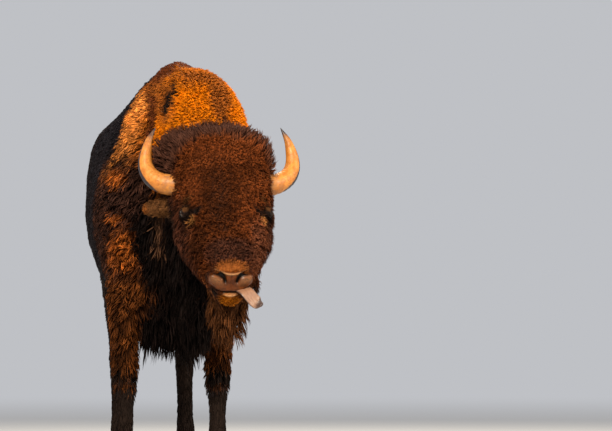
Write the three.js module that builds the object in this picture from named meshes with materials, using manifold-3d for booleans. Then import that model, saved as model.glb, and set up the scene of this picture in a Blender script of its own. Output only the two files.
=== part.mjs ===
// A life-size American bison bull that stands still, its head lowered and its tongue out to its left.
// Millimetres, +Z up. The animal faces -Y and its own left side is +X.
// The outline is that of the coat, out to the hair tips. The flesh is made whole and then parted with thin
// cuts into its named parts; horns, eyes, ears, tongue, tail and hooves are pieces of their own.
import * as THREE from "three";
import { mergeVertices } from "three/addons/utils/BufferGeometryUtils.js";
import Module from "manifold-3d";

const wasm = await Module();
wasm.setup();

// ---- driving dimensions ----
const GAP = 0.4; // the cut between two parts that touch
const HUMP_HEIGHT = 1724; // top of the hump, coat included
const TRUNK_HALF_WIDTH = 338; // at the ribs
const TRUNK_SIDES = 24;
const NECK_HALF_WIDTH = 190;
const HEAD_PITCH = 51; // degrees that the face slopes below the horizon
const HEAD_TURN = 1; // degrees towards the animal's left
const HEAD_PLACE = new THREE.Vector3(116, -620, 1202); // midway between the horns
const HEAD_HALF_WIDTH = 210;
const HORN_RADIUS = 46;
const EYE_RADIUS = 22;
const HOOF_HEIGHT = 76;
const FORELEG = { left: { x: 163, y: 0 }, right: { x: -228, y: -120 } };
const HINDLEG = { left: { x: 156, y: 0 }, right: { x: -136, y: -60 } };

// ---- small helpers ----
const radians = THREE.MathUtils.degToRad;
const V = (x, y, z) => new THREE.Vector3(x, y, z);

// A smooth curve through the stations: gives every key of a station at t from 0 to 1.
function between(stations) {
  const keys = Object.keys(stations[0]);
  const last = stations.length - 1;
  return (t) => {
    const at = t * last;
    const i = Math.min(Math.floor(at), last - 1);
    const f = at - i;
    const pick = (k) => stations[Math.max(0, Math.min(last, k))];
    const made = {};
    for (const key of keys) {
      const [a, b, c, d] = [i - 1, i, i + 1, i + 2].map((k) => pick(k)[key]);
      const rise = (c - a) / 2;
      const leave = (d - b) / 2;
      made[key] =
        b +
        f * rise +
        f * f * (3 * (c - b) - 2 * rise - leave) +
        f * f * f * (2 * (b - c) + rise + leave);
    }
    return made;
  };
}

// A closed surface over a row of rings that all have the same number of points, with a fan at each end.
function skinOver(rings) {
  const sides = rings[0].length;
  const points = rings.flat();
  const triangles = [];
  for (let r = 0; r < rings.length - 1; r++)
    for (let s = 0; s < sides; s++) {
      const a = r * sides + s;
      const b = r * sides + ((s + 1) % sides);
      triangles.push(a, b, b + sides, a, b + sides, a + sides);
    }
  for (const [ring, start, turn] of [
    [rings[0], 0, 1],
    [rings.at(-1), (rings.length - 1) * sides, -1],
  ]) {
    const centre = ring.reduce((sum, p) => sum.add(p), new THREE.Vector3());
    points.push(centre.divideScalar(sides));
    for (let s = 0; s < sides; s++) {
      const [a, b] = [start + s, start + ((s + 1) % sides)];
      if (turn > 0) triangles.push(points.length - 1, b, a);
      else triangles.push(points.length - 1, a, b);
    }
  }
  const geometry = new THREE.BufferGeometry().setFromPoints(points);
  geometry.setIndex(triangles);
  return geometry;
}

// A three.js geometry as a solid whose faces point out.
function solid(geometry) {
  const bare = geometry.clone();
  bare.deleteAttribute("normal");
  bare.deleteAttribute("uv");
  const merged = mergeVertices(bare, 1e-3);
  const triVerts = new Uint32Array(merged.index.array);
  const make = () =>
    new wasm.Manifold(
      new wasm.Mesh({ numProp: 3, vertProperties: merged.attributes.position.array, triVerts }),
    );
  const made = make();
  if (made.volume() > 0) return made;
  for (let i = 0; i < triVerts.length; i += 3)
    [triVerts[i + 1], triVerts[i + 2]] = [triVerts[i + 2], triVerts[i + 1]];
  return make();
}

// The main body of a solid, without the crumbs that a cut can leave.
const largest = (made) =>
  made.decompose().reduce((kept, other) => (other.volume() > kept.volume() ? other : kept));

// A solid back as a three.js mesh.
function piece(name, made, material) {
  const mesh = made.getMesh();
  const stride = mesh.numProp;
  const positions = new Float32Array(mesh.numVert * 3);
  for (let i = 0; i < mesh.numVert; i++)
    positions.set(mesh.vertProperties.subarray(i * stride, i * stride + 3), i * 3);
  const geometry = new THREE.BufferGeometry();
  geometry.setAttribute("position", new THREE.BufferAttribute(positions, 3));
  geometry.setIndex(new THREE.BufferAttribute(mesh.triVerts, 1));
  const shown = new THREE.Mesh(geometry, material);
  shown.name = name;
  return shown;
}

// A box between two corners, in the part's frame or in the one that a matrix gives.
function block(low, high, place = new THREE.Matrix4()) {
  const size = new THREE.Vector3().subVectors(high, low);
  const geometry = new THREE.BoxGeometry(size.x, size.y, size.z);
  geometry.translate(...new THREE.Vector3().addVectors(low, high).divideScalar(2));
  return solid(geometry.applyMatrix4(place));
}

// Everything in front of a plane that holds the X axis direction and passes through two (y, z) points.
// The plane is set further back by the third value.
function inFrontOf([y0, z0], [y1, z1], back = 0) {
  const slope = Math.atan2(y0 - y1, z0 - z1);
  const geometry = new THREE.BoxGeometry(2000, 2000, 6000);
  geometry.translate(0, -1000 + back, 0);
  geometry.rotateX(-slope);
  geometry.translate(0, y0, z0);
  return solid(geometry);
}

function ellipsoid(centre, radii, place = new THREE.Matrix4(), sides = 16) {
  const geometry = new THREE.SphereGeometry(1, sides, sides / 2);
  geometry.scale(...radii);
  geometry.translate(...centre);
  return solid(geometry.applyMatrix4(place));
}

// One ring of a body section: an upper and a lower half-oval that meet at the widest height.
// roundTop and roundBottom are the ovals' powers: 2 is an ellipse, less is more pointed, more is squarer.
function sectionRing(s, sides) {
  const ring = [];
  for (let i = 0; i < sides; i++) {
    const angle = (2 * Math.PI * i) / sides;
    const upper = Math.sin(angle) >= 0;
    const power = 2 / (upper ? s.roundTop : s.roundBottom);
    const across = Math.sign(Math.cos(angle)) * Math.abs(Math.cos(angle)) ** power;
    const along = Math.abs(Math.sin(angle)) ** power;
    const rise = upper ? s.widest + (1 - s.widest) * along : s.widest * (1 - along);
    const y = s.bottomY + (s.topY - s.bottomY) * rise;
    const z = s.bottomZ + (s.topZ - s.bottomZ) * rise;
    ring.push(V(s.x + s.halfWidth * across, y, z));
  }
  return ring;
}

function body(stations, rings, sides) {
  const at = between(stations);
  const made = [];
  for (let r = 0; r < rings; r++) made.push(sectionRing(at(r / (rings - 1)), sides));
  return skinOver(made);
}

// ---- the trunk, from the tail end to the point of the shoulder ----
function trunkStation(topY, topZ, bottomY, bottomZ, share, widest, roundTop, roundBottom = 1.8) {
  const halfWidth = share * TRUNK_HALF_WIDTH;
  return { topY, topZ, bottomY, bottomZ, halfWidth, widest, roundTop, roundBottom, x: 0 };
}

function trunk() {
  const stations = [
    trunkStation(1506, 1170, 1490, 990, 0.22, 0.5, 2),
    trunkStation(1462, 1268, 1462, 880, 0.52, 0.46, 2.2),
    trunkStation(1385, 1352, 1400, 810, 0.68, 0.46, 2.6),
    trunkStation(1262, 1424, 1280, 775, 0.77, 0.46, 3.4),
    trunkStation(1110, 1474, 1120, 740, 0.84, 0.5, 4.2),
    trunkStation(920, 1516, 930, 690, 0.89, 0.52, 3.6),
    trunkStation(720, 1560, 730, 634, 0.96, 0.5, 2.6),
    trunkStation(530, 1604, 540, 606, 1, 0.5, 2.1),
    trunkStation(340, 1654, 350, 590, 1, 0.5, 1.8),
    trunkStation(160, 1703, 170, 566, 0.98, 0.48, 1.64, 2),
    trunkStation(0, HUMP_HEIGHT, 30, 543, 0.97, 0.46, 1.6, 2.1),
    trunkStation(-130, 1695, -90, 546, 0.94, 0.44, 1.62, 2.1),
    trunkStation(-240, 1610, -190, 600, 0.84, 0.42, 1.75, 2.1),
    trunkStation(-320, 1480, -270, 710, 0.66, 0.42, 1.9, 2.1),
    trunkStation(-365, 1320, -335, 850, 0.36, 0.45, 2),
  ];
  return solid(body(stations, 22, TRUNK_SIDES));
}

// ---- the neck with its mane, bent to the animal's left and hanging to the brisket ----
function neckStation(topY, topZ, bottomY, bottomZ, share, x) {
  return {
    topY,
    topZ,
    bottomY,
    bottomZ,
    halfWidth: share * NECK_HALF_WIDTH,
    widest: 0.62,
    roundTop: 2.7,
    roundBottom: 1.7,
    x,
  };
}

function neck() {
  return solid(
    body(
      [
        neckStation(20, 1660, 110, 720, 0.7, 4),
        neckStation(-110, 1690, -90, 570, 0.94, 24),
        neckStation(-210, 1684, -210, 530, 1.04, 46),
        neckStation(-300, 1652, -300, 535, 1.07, 64),
        neckStation(-380, 1600, -375, 590, 1.05, 74),
        neckStation(-450, 1530, -430, 690, 1, 80),
        neckStation(-515, 1450, -462, 815, 0.93, 92),
        neckStation(-560, 1385, -485, 930, 0.8, 112),
      ],
      12,
      18,
    ),
  );
}

// The long hair at the side of the neck, behind the right horn.
const manePuff = () => ellipsoid([-62, -492, 1296], [112, 92, 132], undefined, 12);

// ---- the head, in its own frame: x across, y out of the forehead, z from the horns to the nose ----
const pitch = radians(HEAD_PITCH);
const headPlace = new THREE.Matrix4()
  .makeTranslation(HEAD_PLACE)
  .multiply(new THREE.Matrix4().makeRotationZ(radians(HEAD_TURN)))
  .multiply(
    new THREE.Matrix4().makeBasis(
      V(1, 0, 0),
      V(0, -Math.sin(pitch), Math.cos(pitch)),
      V(0, -Math.cos(pitch), -Math.sin(pitch)),
    ),
  );

function headStation(topZ, topY, bottomZ, bottomY, share, widest = 0.5, roundTop = 2.3) {
  return {
    topY,
    topZ,
    bottomY,
    bottomZ,
    halfWidth: share * HEAD_HALF_WIDTH,
    widest,
    roundTop,
    roundBottom: 2,
    x: 0,
  };
}

function wholeHead() {
  return body(
    [
      headStation(-240, 36, -205, -120, 0.5, 0.5, 2.6),
      headStation(-226, 104, -175, -200, 0.86, 0.5, 2.8),
      headStation(-184, 154, -120, -250, 1.02, 0.5, 2.9),
      headStation(-110, 180, -60, -274, 1.07, 0.48, 2.8),
      headStation(-20, 190, 20, -276, 1.03, 0.46, 2.3),
      headStation(80, 180, 100, -266, 1, 0.44, 1.95),
      headStation(170, 160, 180, -246, 0.98, 0.42, 1.75),
      headStation(250, 136, 270, -218, 0.91, 0.42, 1.9),
      headStation(320, 112, 350, -195, 0.77, 0.46, 2.2),
      headStation(380, 92, 425, -180, 0.56, 0.54, 2.5),
      headStation(430, 76, 485, -170, 0.425, 0.62, 2.7),
      headStation(463, 56, 520, -155, 0.405, 0.66, 2.7),
      headStation(484, 20, 532, -128, 0.29, 0.64, 2.4),
    ],
    19,
    20,
  ).applyMatrix4(headPlace);
}

// The long hair of the left jaw, blown a little to the side.
const jawHair = () => ellipsoid([86, -130, 360], [60, 72, 118], headPlace, 12);

// ---- what grows from the head ----
// A tube along a curve, oval in section: sizes(t) gives its half-width across and its half-depth.
function tube(curve, sizes, steps, sides, up) {
  const rings = [];
  for (let i = 0; i <= steps; i++) {
    const t = i / steps;
    const middle = curve.getPoint(t);
    const ahead = curve.getTangent(t);
    const side = new THREE.Vector3().crossVectors(ahead, up).normalize();
    const lift = new THREE.Vector3().crossVectors(side, ahead).normalize();
    const [wide, deep] = sizes(t);
    rings.push(
      Array.from({ length: sides }, (_, k) => {
        const angle = (2 * Math.PI * k) / sides;
        return middle
          .clone()
          .addScaledVector(side, wide * Math.cos(angle))
          .addScaledVector(lift, deep * Math.sin(angle));
      }),
    );
  }
  return skinOver(rings);
}

const curveThrough = (points) =>
  new THREE.CatmullRomCurve3(points.map((point) => V(...point)));

// The horn leaves the skull sideways, then sweeps up and in to its point. The left one rises sooner.
const HORN_LIFT = { 1: 24, [-1]: 18 };

function horn(side, extra = 0) {
  const lift = HORN_LIFT[side];
  const curve = curveThrough([
    [side * 150, -22, -8],
    [side * 203, -22, -9 - 0.2 * lift],
    [side * 243, -28, -13 - 0.9 * lift],
    [side * 273, -32, -40 - lift],
    [side * 292, -30, -82 - 0.8 * lift],
    [side * 297, -18, -124 - 0.5 * lift],
    [side * 292, 0, -168],
    [side * 279, 20, -212],
    [side * 251, 46, -258],
  ]);
  const thin = (t) => Math.max(2, HORN_RADIUS * (1 - 0.22 * t - 0.76 * t ** 2.6)) + extra;
  const sizes = (t) => [thin(t), 0.94 * thin(t)];
  return solid(tube(curve, sizes, 13, 10, V(0, 1, 0)).applyMatrix4(headPlace));
}

// The ears are leaves under the horns. The right one stands out sideways, the left one is laid back.
const EAR_CURVES = {
  [-1]: [
    [-150, -96, 34],
    [-190, -104, 34],
    [-236, -112, 32],
    [-280, -118, 28],
    [-320, -124, 22],
  ],
  1: [
    [150, -110, 40],
    [176, -140, 32],
    [200, -178, 22],
    [218, -216, 10],
    [226, -250, -8],
  ],
};

function ear(side, extra = 0) {
  const leaf = (t) => 26 + 19 * Math.sin(Math.PI * Math.min(1, 0.1 + 0.8 * t)) - 20 * t ** 8;
  const sizes = (t) => [leaf(t) + extra, 0.5 * leaf(t) + extra];
  const curve = curveThrough(EAR_CURVES[side]);
  const open = V(side > 0 ? side : 0, 0.8, 0.6);
  return solid(tube(curve, sizes, 7, 10, open).applyMatrix4(headPlace));
}

// A nostril, a slanted pit beside the middle of the nose.
const nostril = (side) => ellipsoid([side * 54, 6, 478], [21, 15, 24], headPlace, 10);

const EYE_AT = { x: 161, y: 28, z: 178 };
const eyeCentre = (side) => [side * EYE_AT.x, EYE_AT.y, EYE_AT.z];
const eye = (side, extra = 0) =>
  ellipsoid(eyeCentre(side), Array(3).fill(EYE_RADIUS + extra), headPlace, 12);

// The opening in the coat in front of the eye.
function eyeOpening(side) {
  const outwards = V(side * 0.7, 0.6, 0.3).normalize();
  const reach = 90;
  const cone = new THREE.CylinderGeometry(78, 17, reach, 10);
  cone.translate(0, reach / 2 - 4, 0);
  cone.applyQuaternion(new THREE.Quaternion().setFromUnitVectors(V(0, 1, 0), outwards));
  cone.translate(...eyeCentre(side));
  return solid(cone.applyMatrix4(headPlace));
}

// The tongue comes out over the left lip and hangs down and out, its tip curled up.
function tongue(extra = 0) {
  const curve = curveThrough([
    [16, -56, 440],
    [34, -56, 486],
    [50, -40, 520],
    [74, -48, 546],
    [100, -62, 562],
    [124, -62, 566],
  ]);
  const wide = (t) => 33 - 3 * t - 10 * t ** 6;
  const sizes = (t) => [wide(t) + extra, 8 - 2 * t + extra];
  const across = V(0.35, 1, 0.25);
  return solid(tube(curve, sizes, 10, 10, across).applyMatrix4(headPlace));
}

// The beard hangs straight down from the chin and the jaw.
function beard() {
  const stations = [
    { x: 124, y: -735, z: 900, wide: 60, deep: 75 },
    { x: 126, y: -740, z: 820, wide: 84, deep: 100 },
    { x: 128, y: -742, z: 740, wide: 92, deep: 98 },
    { x: 130, y: -738, z: 670, wide: 90, deep: 84 },
    { x: 134, y: -730, z: 605, wide: 74, deep: 64 },
    { x: 138, y: -722, z: 555, wide: 46, deep: 40 },
    { x: 140, y: -718, z: 530, wide: 12, deep: 12 },
  ];
  return solid(uprightForm(stations, 10, 14));
}

// A form of level oval rings, for whatever stands or hangs.
function uprightForm(stations, rings, sides) {
  const at = between(stations);
  const made = [];
  for (let r = 0; r < rings; r++) {
    const s = at(r / (rings - 1));
    made.push(
      Array.from({ length: sides }, (_, k) => {
        const angle = (2 * Math.PI * k) / sides;
        return V(s.x + s.wide * Math.cos(angle), s.y + s.deep * Math.sin(angle), s.z);
      }),
    );
  }
  return skinOver(made);
}

// ---- legs ----
const legStation = (foot, x, y, z, wide, deep) => ({ x: foot.x + x, y: foot.y + y, z, wide, deep });

// The foreleg, with the long hair that covers it down to the knee.
function foreleg(foot, extra = 0) {
  const inwards = -Math.sign(foot.x);
  const s = (z, y, wide, deep, x = 0) =>
    legStation(foot, inwards * x, y, z, wide + extra, deep + extra);
  return solid(
    uprightForm(
      [
        s(1010, 30, 66, 120, 10),
        s(900, 30, 78, 140, 4),
        s(800, 26, 77, 128),
        s(700, 16, 70, 106),
        s(600, 8, 64, 84),
        s(500, 4, 61, 74),
        s(430, 0, 58, 68),
        s(385, 0, 50, 57),
        s(330, 2, 40, 45),
        s(260, 4, 37, 42),
        s(190, 3, 40, 46),
        s(145, 0, 46, 54),
        s(108, -10, 45, 52),
        s(HOOF_HEIGHT + GAP, -20, 50, 58),
      ],
      17,
      12,
    ),
  ).add(dewclaws(foot, 0, extra));
}

// The hind leg, from inside the rump to the pastern, its hock bent back.
const HIND_FOOT_Y = 1262;

function hindleg(foot, extra = 0) {
  const inwards = -Math.sign(foot.x);
  const s = (z, y, wide, deep, x = 0) =>
    legStation(foot, inwards * x, y, z, wide + extra, deep + extra);
  return solid(
    uprightForm(
      [
        s(1230, 1215 - foot.y, 84, 170, 0),
        s(1120, 1205 - foot.y, 112, 216, 0),
        s(1000, 1190 - foot.y, 116, 232, 0),
        s(900, 1178 - foot.y, 100, 228, 0),
        s(820, 1172 - foot.y, 84, 205, -4),
        s(740, 1192 - foot.y / 2, 68, 158, -6),
        s(665, 1232, 65, 112, -4),
        s(600, 1272, 53, 84, -2),
        s(545, 1305, 47, 70),
        s(490, 1326, 44, 64),
        s(440, 1326, 42, 54),
        s(380, 1318, 38, 44),
        s(290, 1300, 36, 41),
        s(200, 1284, 39, 45),
        s(148, 1272, 46, 53),
        s(108, 1258, 45, 51),
        s(HOOF_HEIGHT + GAP, 1246, 50, 57),
      ],
      19,
      12,
    ),
  ).add(dewclaws(foot, HIND_FOOT_Y, extra));
}

function dewclaws(foot, y, extra) {
  const radii = [15 + extra, 18 + extra, 22 + extra];
  const pair = [-1, 1].map((side) =>
    ellipsoid([foot.x + side * 24, foot.y + y + 48, 118], radii, undefined, 6),
  );
  return pair[0].add(pair[1]);
}

// A cloven hoof, flat below, with the cleft open to the front.
function hoof(foot, y) {
  const s = (z, ahead, wide, deep) => legStation(foot, 0, y - ahead, z, wide, deep);
  const whole = solid(
    uprightForm(
      [s(HOOF_HEIGHT, 18, 52, 60), s(50, 24, 57, 66), s(22, 30, 61, 71), s(0, 34, 63, 74)],
      4,
      14,
    ),
  );
  const cleft = block(
    V(foot.x - 3.5, foot.y + y - 160, -5),
    V(foot.x + 3.5, foot.y + y - 12, HOOF_HEIGHT + 5),
  );
  return whole.subtract(cleft);
}

// ---- tail ----
const TAIL_TUFT_TOP = 905;

function tail(extra = 0) {
  const s = (x, y, z, wide) => ({ x, y, z, wide: wide + extra, deep: wide + extra });
  const stations = [
    s(0, 1430, 1300, 30),
    s(0, 1490, 1248, 32),
    s(2, 1530, 1160, 27),
    s(5, 1548, 1060, 22),
    s(8, 1552, 960, 20),
    s(10, 1550, 870, 32),
    s(12, 1546, 780, 38),
    s(14, 1540, 690, 27),
    s(15, 1536, 630, 6),
  ];
  return solid(uprightForm(stations, 14, 10));
}

// ---- the flesh made whole, then parted ----
const sides = ["left", "right"];
const sign = { left: 1, right: -1 };

let flesh = trunk().add(neck()).add(manePuff()).add(solid(wholeHead())).add(beard());
flesh = flesh.add(jawHair());
for (const side of sides) {
  flesh = flesh.add(foreleg(FORELEG[side])).add(hindleg(HINDLEG[side]));
  flesh = flesh.subtract(horn(sign[side], GAP)).subtract(ear(sign[side], GAP));
  flesh = flesh.subtract(eye(sign[side], GAP)).subtract(eyeOpening(sign[side]));
}
flesh = flesh.subtract(tongue(GAP)).subtract(tail(GAP));

const parts = {};

// Takes what lies in a region out of the flesh as a named part, and leaves a gap round it.
function part(name, region, widerRegion) {
  parts[name] = flesh.intersect(region);
  flesh = flesh.subtract(widerRegion);
}

const grow = (low, high) => [low.clone().subScalar(GAP), high.clone().addScalar(GAP)];

function partInBox(name, low, high, place) {
  part(name, block(low, high, place), block(...grow(low, high), place));
}

// A leg leaves the trunk along its own shape, so that the trunk closes round its top.
const KNEE_CUT = 400;
const HOCK_CUT = 520;
const ELBOW_CUT = 700;
const STIFLE_CUT = 860;
const level = (low, high) => block(V(-900, -900, low), V(900, 2000, high));
for (const [side, leg, foot, joint, top, names] of [
  ["left", foreleg, FORELEG.left, KNEE_CUT, ELBOW_CUT, ["lower_foreleg_", "upper_foreleg_"]],
  ["right", foreleg, FORELEG.right, KNEE_CUT, ELBOW_CUT, ["lower_foreleg_", "upper_foreleg_"]],
  ["left", hindleg, HINDLEG.left, HOCK_CUT, STIFLE_CUT, ["lower_hindleg_", "thigh_"]],
  ["right", hindleg, HINDLEG.right, HOCK_CUT, STIFLE_CUT, ["lower_hindleg_", "thigh_"]],
]) {
  parts[names[0] + side] = leg(foot).intersect(level(-50, joint));
  parts[names[1] + side] = leg(foot).intersect(level(joint + GAP, top));
  flesh = flesh.subtract(leg(foot, GAP).intersect(level(-50, top + GAP)));
}

// The head and the beard are cut off in front of the neck first, then parted from each other.
const frontCut = (name, low, high) => part(name, inFrontOf(low, high), inFrontOf(low, high, GAP));
frontCut("head", [-506, 1500], [-506, 900]);
frontCut("neck", [-215, 1700], [-395, 600]);
frontCut("shoulders", [270, 1700], [270, 600]);
frontCut("barrel", [925, 1700], [925, 600]);
parts.rump = flesh;
const MUZZLE = { noseStart: 440, noseFloor: -54, lipLine: -60, jawStart: 190, jawFloor: -298 };
flesh = parts.head;
partInBox("nose", V(-300, MUZZLE.noseFloor, MUZZLE.noseStart), V(300, 300, 700), headPlace);
partInBox("beard", V(-400, -1300, 300), V(600, -520, 735));
partInBox(
  "lower_jaw",
  V(-400, MUZZLE.jawFloor, MUZZLE.jawStart),
  V(400, MUZZLE.lipLine, 700),
  headPlace,
);
const mouth = block(V(-300, MUZZLE.lipLine, 455), V(300, MUZZLE.noseFloor, 700), headPlace);
parts.head = flesh.subtract(mouth);

for (const side of sides) parts.nose = parts.nose.subtract(nostril(sign[side]));
parts.nose = largest(parts.nose);
parts.tail = tail().intersect(level(TAIL_TUFT_TOP, 2000));
parts.tail_tuft = tail().intersect(level(0, TAIL_TUFT_TOP - GAP));
parts.tongue = tongue();
for (const side of sides) {
  parts["horn_" + side] = horn(sign[side]);
  parts["ear_" + side] = ear(sign[side]);
  parts["eye_" + side] = eye(sign[side]);
  parts["fore_hoof_" + side] = hoof(FORELEG[side], 0);
  parts["hind_hoof_" + side] = hoof(HINDLEG[side], HIND_FOOT_Y);
}

// ---- what each part is made of ----
const finish = (color, roughness) =>
  new THREE.MeshStandardMaterial({ color, roughness, metalness: 0 });
const finishes = {
  wool: finish(0x4a2a17, 0.9),
  cape: finish(0x8a4a1c, 0.9),
  dark_hair: finish(0x2a1c14, 0.85),
  flank: finish(0x241c1e, 0.7),
  nose: finish(0x5a3620, 0.45),
  horn: finish(0xc49a63, 0.5),
  eye: finish(0x140c08, 0.1),
  tongue: finish(0x9a7a6c, 0.5),
  hoof: finish(0x1c1613, 0.5),
};
const finishOf = [
  [/^(head|lower_jaw|beard)$/, "wool"],
  [/^(neck|shoulders)$/, "cape"],
  [/^(barrel|rump|thigh)/, "flank"],
  [/^(upper|lower)_|^tail|^ear/, "dark_hair"],
  [/^horn/, "horn"],
  [/^eye/, "eye"],
  [/hoof/, "hoof"],
  [/^nose$/, "nose"],
  [/^tongue$/, "tongue"],
];

const bison = new THREE.Group();
for (const [name, made] of Object.entries(parts)) {
  const [, use] = finishOf.find(([pattern]) => pattern.test(name));
  bison.add(piece(name, made, finishes[use]));
}

// The origin is on the floor, below the middle of the whole.
const middle = new THREE.Box3().setFromObject(bison).getCenter(V(0, 0, 0));
for (const mesh of bison.children) mesh.geometry.translate(-middle.x, -middle.y, 0);

export default bison;
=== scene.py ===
"""A life-size bison bull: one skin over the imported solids, a coat of solid locks, and horns, eyes, tongue
and hooves of its own."""

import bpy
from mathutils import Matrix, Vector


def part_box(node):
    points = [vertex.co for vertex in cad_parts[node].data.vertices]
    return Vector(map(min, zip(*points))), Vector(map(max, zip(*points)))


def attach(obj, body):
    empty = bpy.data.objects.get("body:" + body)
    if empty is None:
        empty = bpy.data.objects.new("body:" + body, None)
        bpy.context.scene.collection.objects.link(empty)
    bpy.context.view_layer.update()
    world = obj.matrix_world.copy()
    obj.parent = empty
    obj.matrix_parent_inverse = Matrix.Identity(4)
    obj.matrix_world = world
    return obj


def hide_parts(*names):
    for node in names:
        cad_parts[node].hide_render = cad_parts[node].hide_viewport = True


bl_info = {
    "name": "Bison Bull",
    "version": (1, 0, 0),
    "blender": (4, 5, 0),
    "location": "View3D > Sidebar > Bison",
    "description": "Makes the skin, coat, horns, eyes, tongue and hooves of a standing bison bull",
    "category": "Object",
}

from math import cos, pi, radians, sin

import bpy
import numpy as np
from bpy.props import FloatProperty, FloatVectorProperty, IntProperty, PointerProperty
from mathutils import Matrix, Vector, kdtree
from mathutils.bvhtree import BVHTree

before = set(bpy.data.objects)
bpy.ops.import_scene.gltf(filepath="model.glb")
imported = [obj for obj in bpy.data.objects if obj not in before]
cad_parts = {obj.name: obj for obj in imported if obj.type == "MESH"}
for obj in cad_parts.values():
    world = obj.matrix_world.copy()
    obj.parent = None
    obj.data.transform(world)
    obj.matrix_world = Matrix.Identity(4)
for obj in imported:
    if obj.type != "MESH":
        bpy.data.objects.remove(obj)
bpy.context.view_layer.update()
SIDES = {"left": 1, "right": -1}

# the studio: its even light, then the camera's place in the body's frame, how it is turned, and its lens
SKY, SKY_COLOUR = 0.56, (0.93, 0.95, 1.0)
CAMERA_AT = (-2.008, -20.854, 0.80)
CAMERA_TILT, CAMERA_TURN = radians(90.779), radians(-6.934)
CAMERA_LENS = 300.7


# ---- what a user may change ----
def tone(name, description, *colour):
    return FloatVectorProperty(
        name=name, description=description, default=colour, subtype="COLOR", min=0, max=1
    )


def measure(name, description, default, low, high):
    return FloatProperty(
        name=name, description=description, default=default, min=low, max=high, unit="LENGTH"
    )


def share(name, description, default=1.0):
    return FloatProperty(
        name=name, description=description, default=default, min=0.1, max=2, subtype="FACTOR"
    )


class BisonColours(bpy.types.PropertyGroup):
    """The colours of the bison's coat, skin and horn"""

    # partly paler wool, partly painted sunlight on the sides of the hump
    cape_sunlit_orange: tone("Cape, bright", "Sunned wool at the side of the hump", 0.74, 0.245, 0.044)
    cape_brown: tone("Cape, brown", "Wool of hump and shoulders", 0.3, 0.082, 0.0115)
    hump_red: tone("Hump", "Short wool on top of the hump", 0.118, 0.0285, 0.008)
    # partly paler wool, partly painted sunlight on the top of the neck
    neck_sunlit_orange: tone("Neck", "Woolly top of the neck", 0.66, 0.17, 0.0015)
    shoulder_dark: tone("Lower shoulder", "Shaggy hair of the shoulder", 0.04, 0.016, 0.0102)
    foreleg_brown: tone("Foreleg", "Long hair of the forelegs", 0.09, 0.026, 0.0056)
    # dark hair, darkened further with painted shade under the head
    chest_black_shaded: tone("Chest", "Hanging hair of chest and brisket", 0.0062, 0.0035, 0.003)
    # near-black hair with a painted blue-violet sheen
    flank_black_sheen: tone("Flank", "Short smooth hair of flanks and rump", 0.0135, 0.0105, 0.0125)
    rump_brown: tone("Rump", "Short hair of the rump and thighs", 0.024, 0.0135, 0.0095)
    dark_hair: tone("Dark hair", "Lower legs, tail and creases", 0.014, 0.0085, 0.0065)
    head_brown: tone("Head", "Wool of forehead and face", 0.085, 0.0208, 0.0046)
    face_dark: tone("Face, dark", "Darker wool between the eyes", 0.058, 0.0155, 0.0045)
    dome_red: tone("Forehead", "Sunlit top of the forehead", 0.150, 0.036, 0.0082)
    # partly paler hair, partly painted sunlight on the shoulder's tufts
    tuft_sunlit_orange: tone("Tufts", "Bright tufts low on the shoulder", 0.43, 0.107, 0.015)
    ear_brown: tone("Ears", "Soft hair of the ears", 0.085, 0.034, 0.011)
    crown_dark: tone("Crown", "Stiff hair behind the forehead", 0.06, 0.0235, 0.0145)
    cheek_dark: tone("Cheek", "Darker wool of cheeks and muzzle", 0.057, 0.0185, 0.0098)
    cheek_red: tone("Cheek, red", "Reddish locks below the eye", 0.145, 0.045, 0.020)
    jaw_brown: tone("Jaw", "Long hair of the jaw", 0.057, 0.02, 0.012)
    beard_brown: tone("Beard", "Hanging beard", 0.08, 0.028, 0.009)
    tan_streak: tone("Tan streak", "Paler streak at neck and brow", 0.15, 0.07, 0.038)
    eye_tan: tone("Eye corner", "Pale hair at the inner corner of the eye", 0.3, 0.125, 0.034)
    lid_dark: tone("Eyelids", "Bare dark rim round the eye", 0.0075, 0.0036, 0.0026)
    muzzle_tan: tone("Muzzle", "Short hair above the nose", 0.25, 0.075, 0.0155)
    nose_brown: tone("Nose", "Bare moist skin of the nose", 0.092, 0.0205, 0.0015)
    chin_tan: tone("Chin", "Short hair of the chin", 0.32, 0.092, 0.005)
    # painted highlights on the nose's rim and the lower lip, and the paler wings of the nose
    nose_pale_highlight: tone("Nose rim", "Worn pale rim and wings of the nose", 0.5, 0.25, 0.105)
    horn_pale: tone("Horn", "Pale face of the horn", 0.44, 0.165, 0.026)
    horn_dark: tone("Horn, dark", "Outer edge and point of the horn", 0.018, 0.012, 0.015)
    tongue_pink: tone("Tongue", "Upper side of the tongue", 0.148, 0.07, 0.04)
    tongue_dark: tone("Tongue tip", "Dark tip and edges of the tongue", 0.024, 0.012, 0.01)
    hoof_black: tone("Hoof", "Hooves and dewclaws", 0.01, 0.0078, 0.0068)
    eye_brown: tone("Iris", "The iris", 0.014, 0.006, 0.003)


class BisonSizes(bpy.types.PropertyGroup):
    """Sizes and amounts of the bison's finer pieces"""

    coat_length: share("Lock length", "Length of every lock, as a share of its own")
    coat_density: share("Locks", "Number of locks, as a share of the full coat")
    horn_radius: measure("Horn radius", "Radius of a horn at its base", 0.046, 0.03, 0.06)
    horn_rings: IntProperty(name="Horn rings", description="Ridges at a horn's base", default=7, min=0)
    eye_radius: measure("Eye radius", "Radius of an eyeball", 0.0218, 0.015, 0.022)
    lid_gap: measure("Lid", "Thickness of an eyelid over the eyeball", 0.003, 0.001, 0.006)
    nostril_depth: measure("Nostril depth", "How deep a nostril is cut", 0.016, 0.002, 0.03)
    tongue_groove: measure("Tongue groove", "Depth of the groove along the tongue", 0.0035, 0, 0.008)
    claw_gap: measure("Cleft", "Width of the cleft of a hoof", 0.007, 0.003, 0.02)


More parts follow.
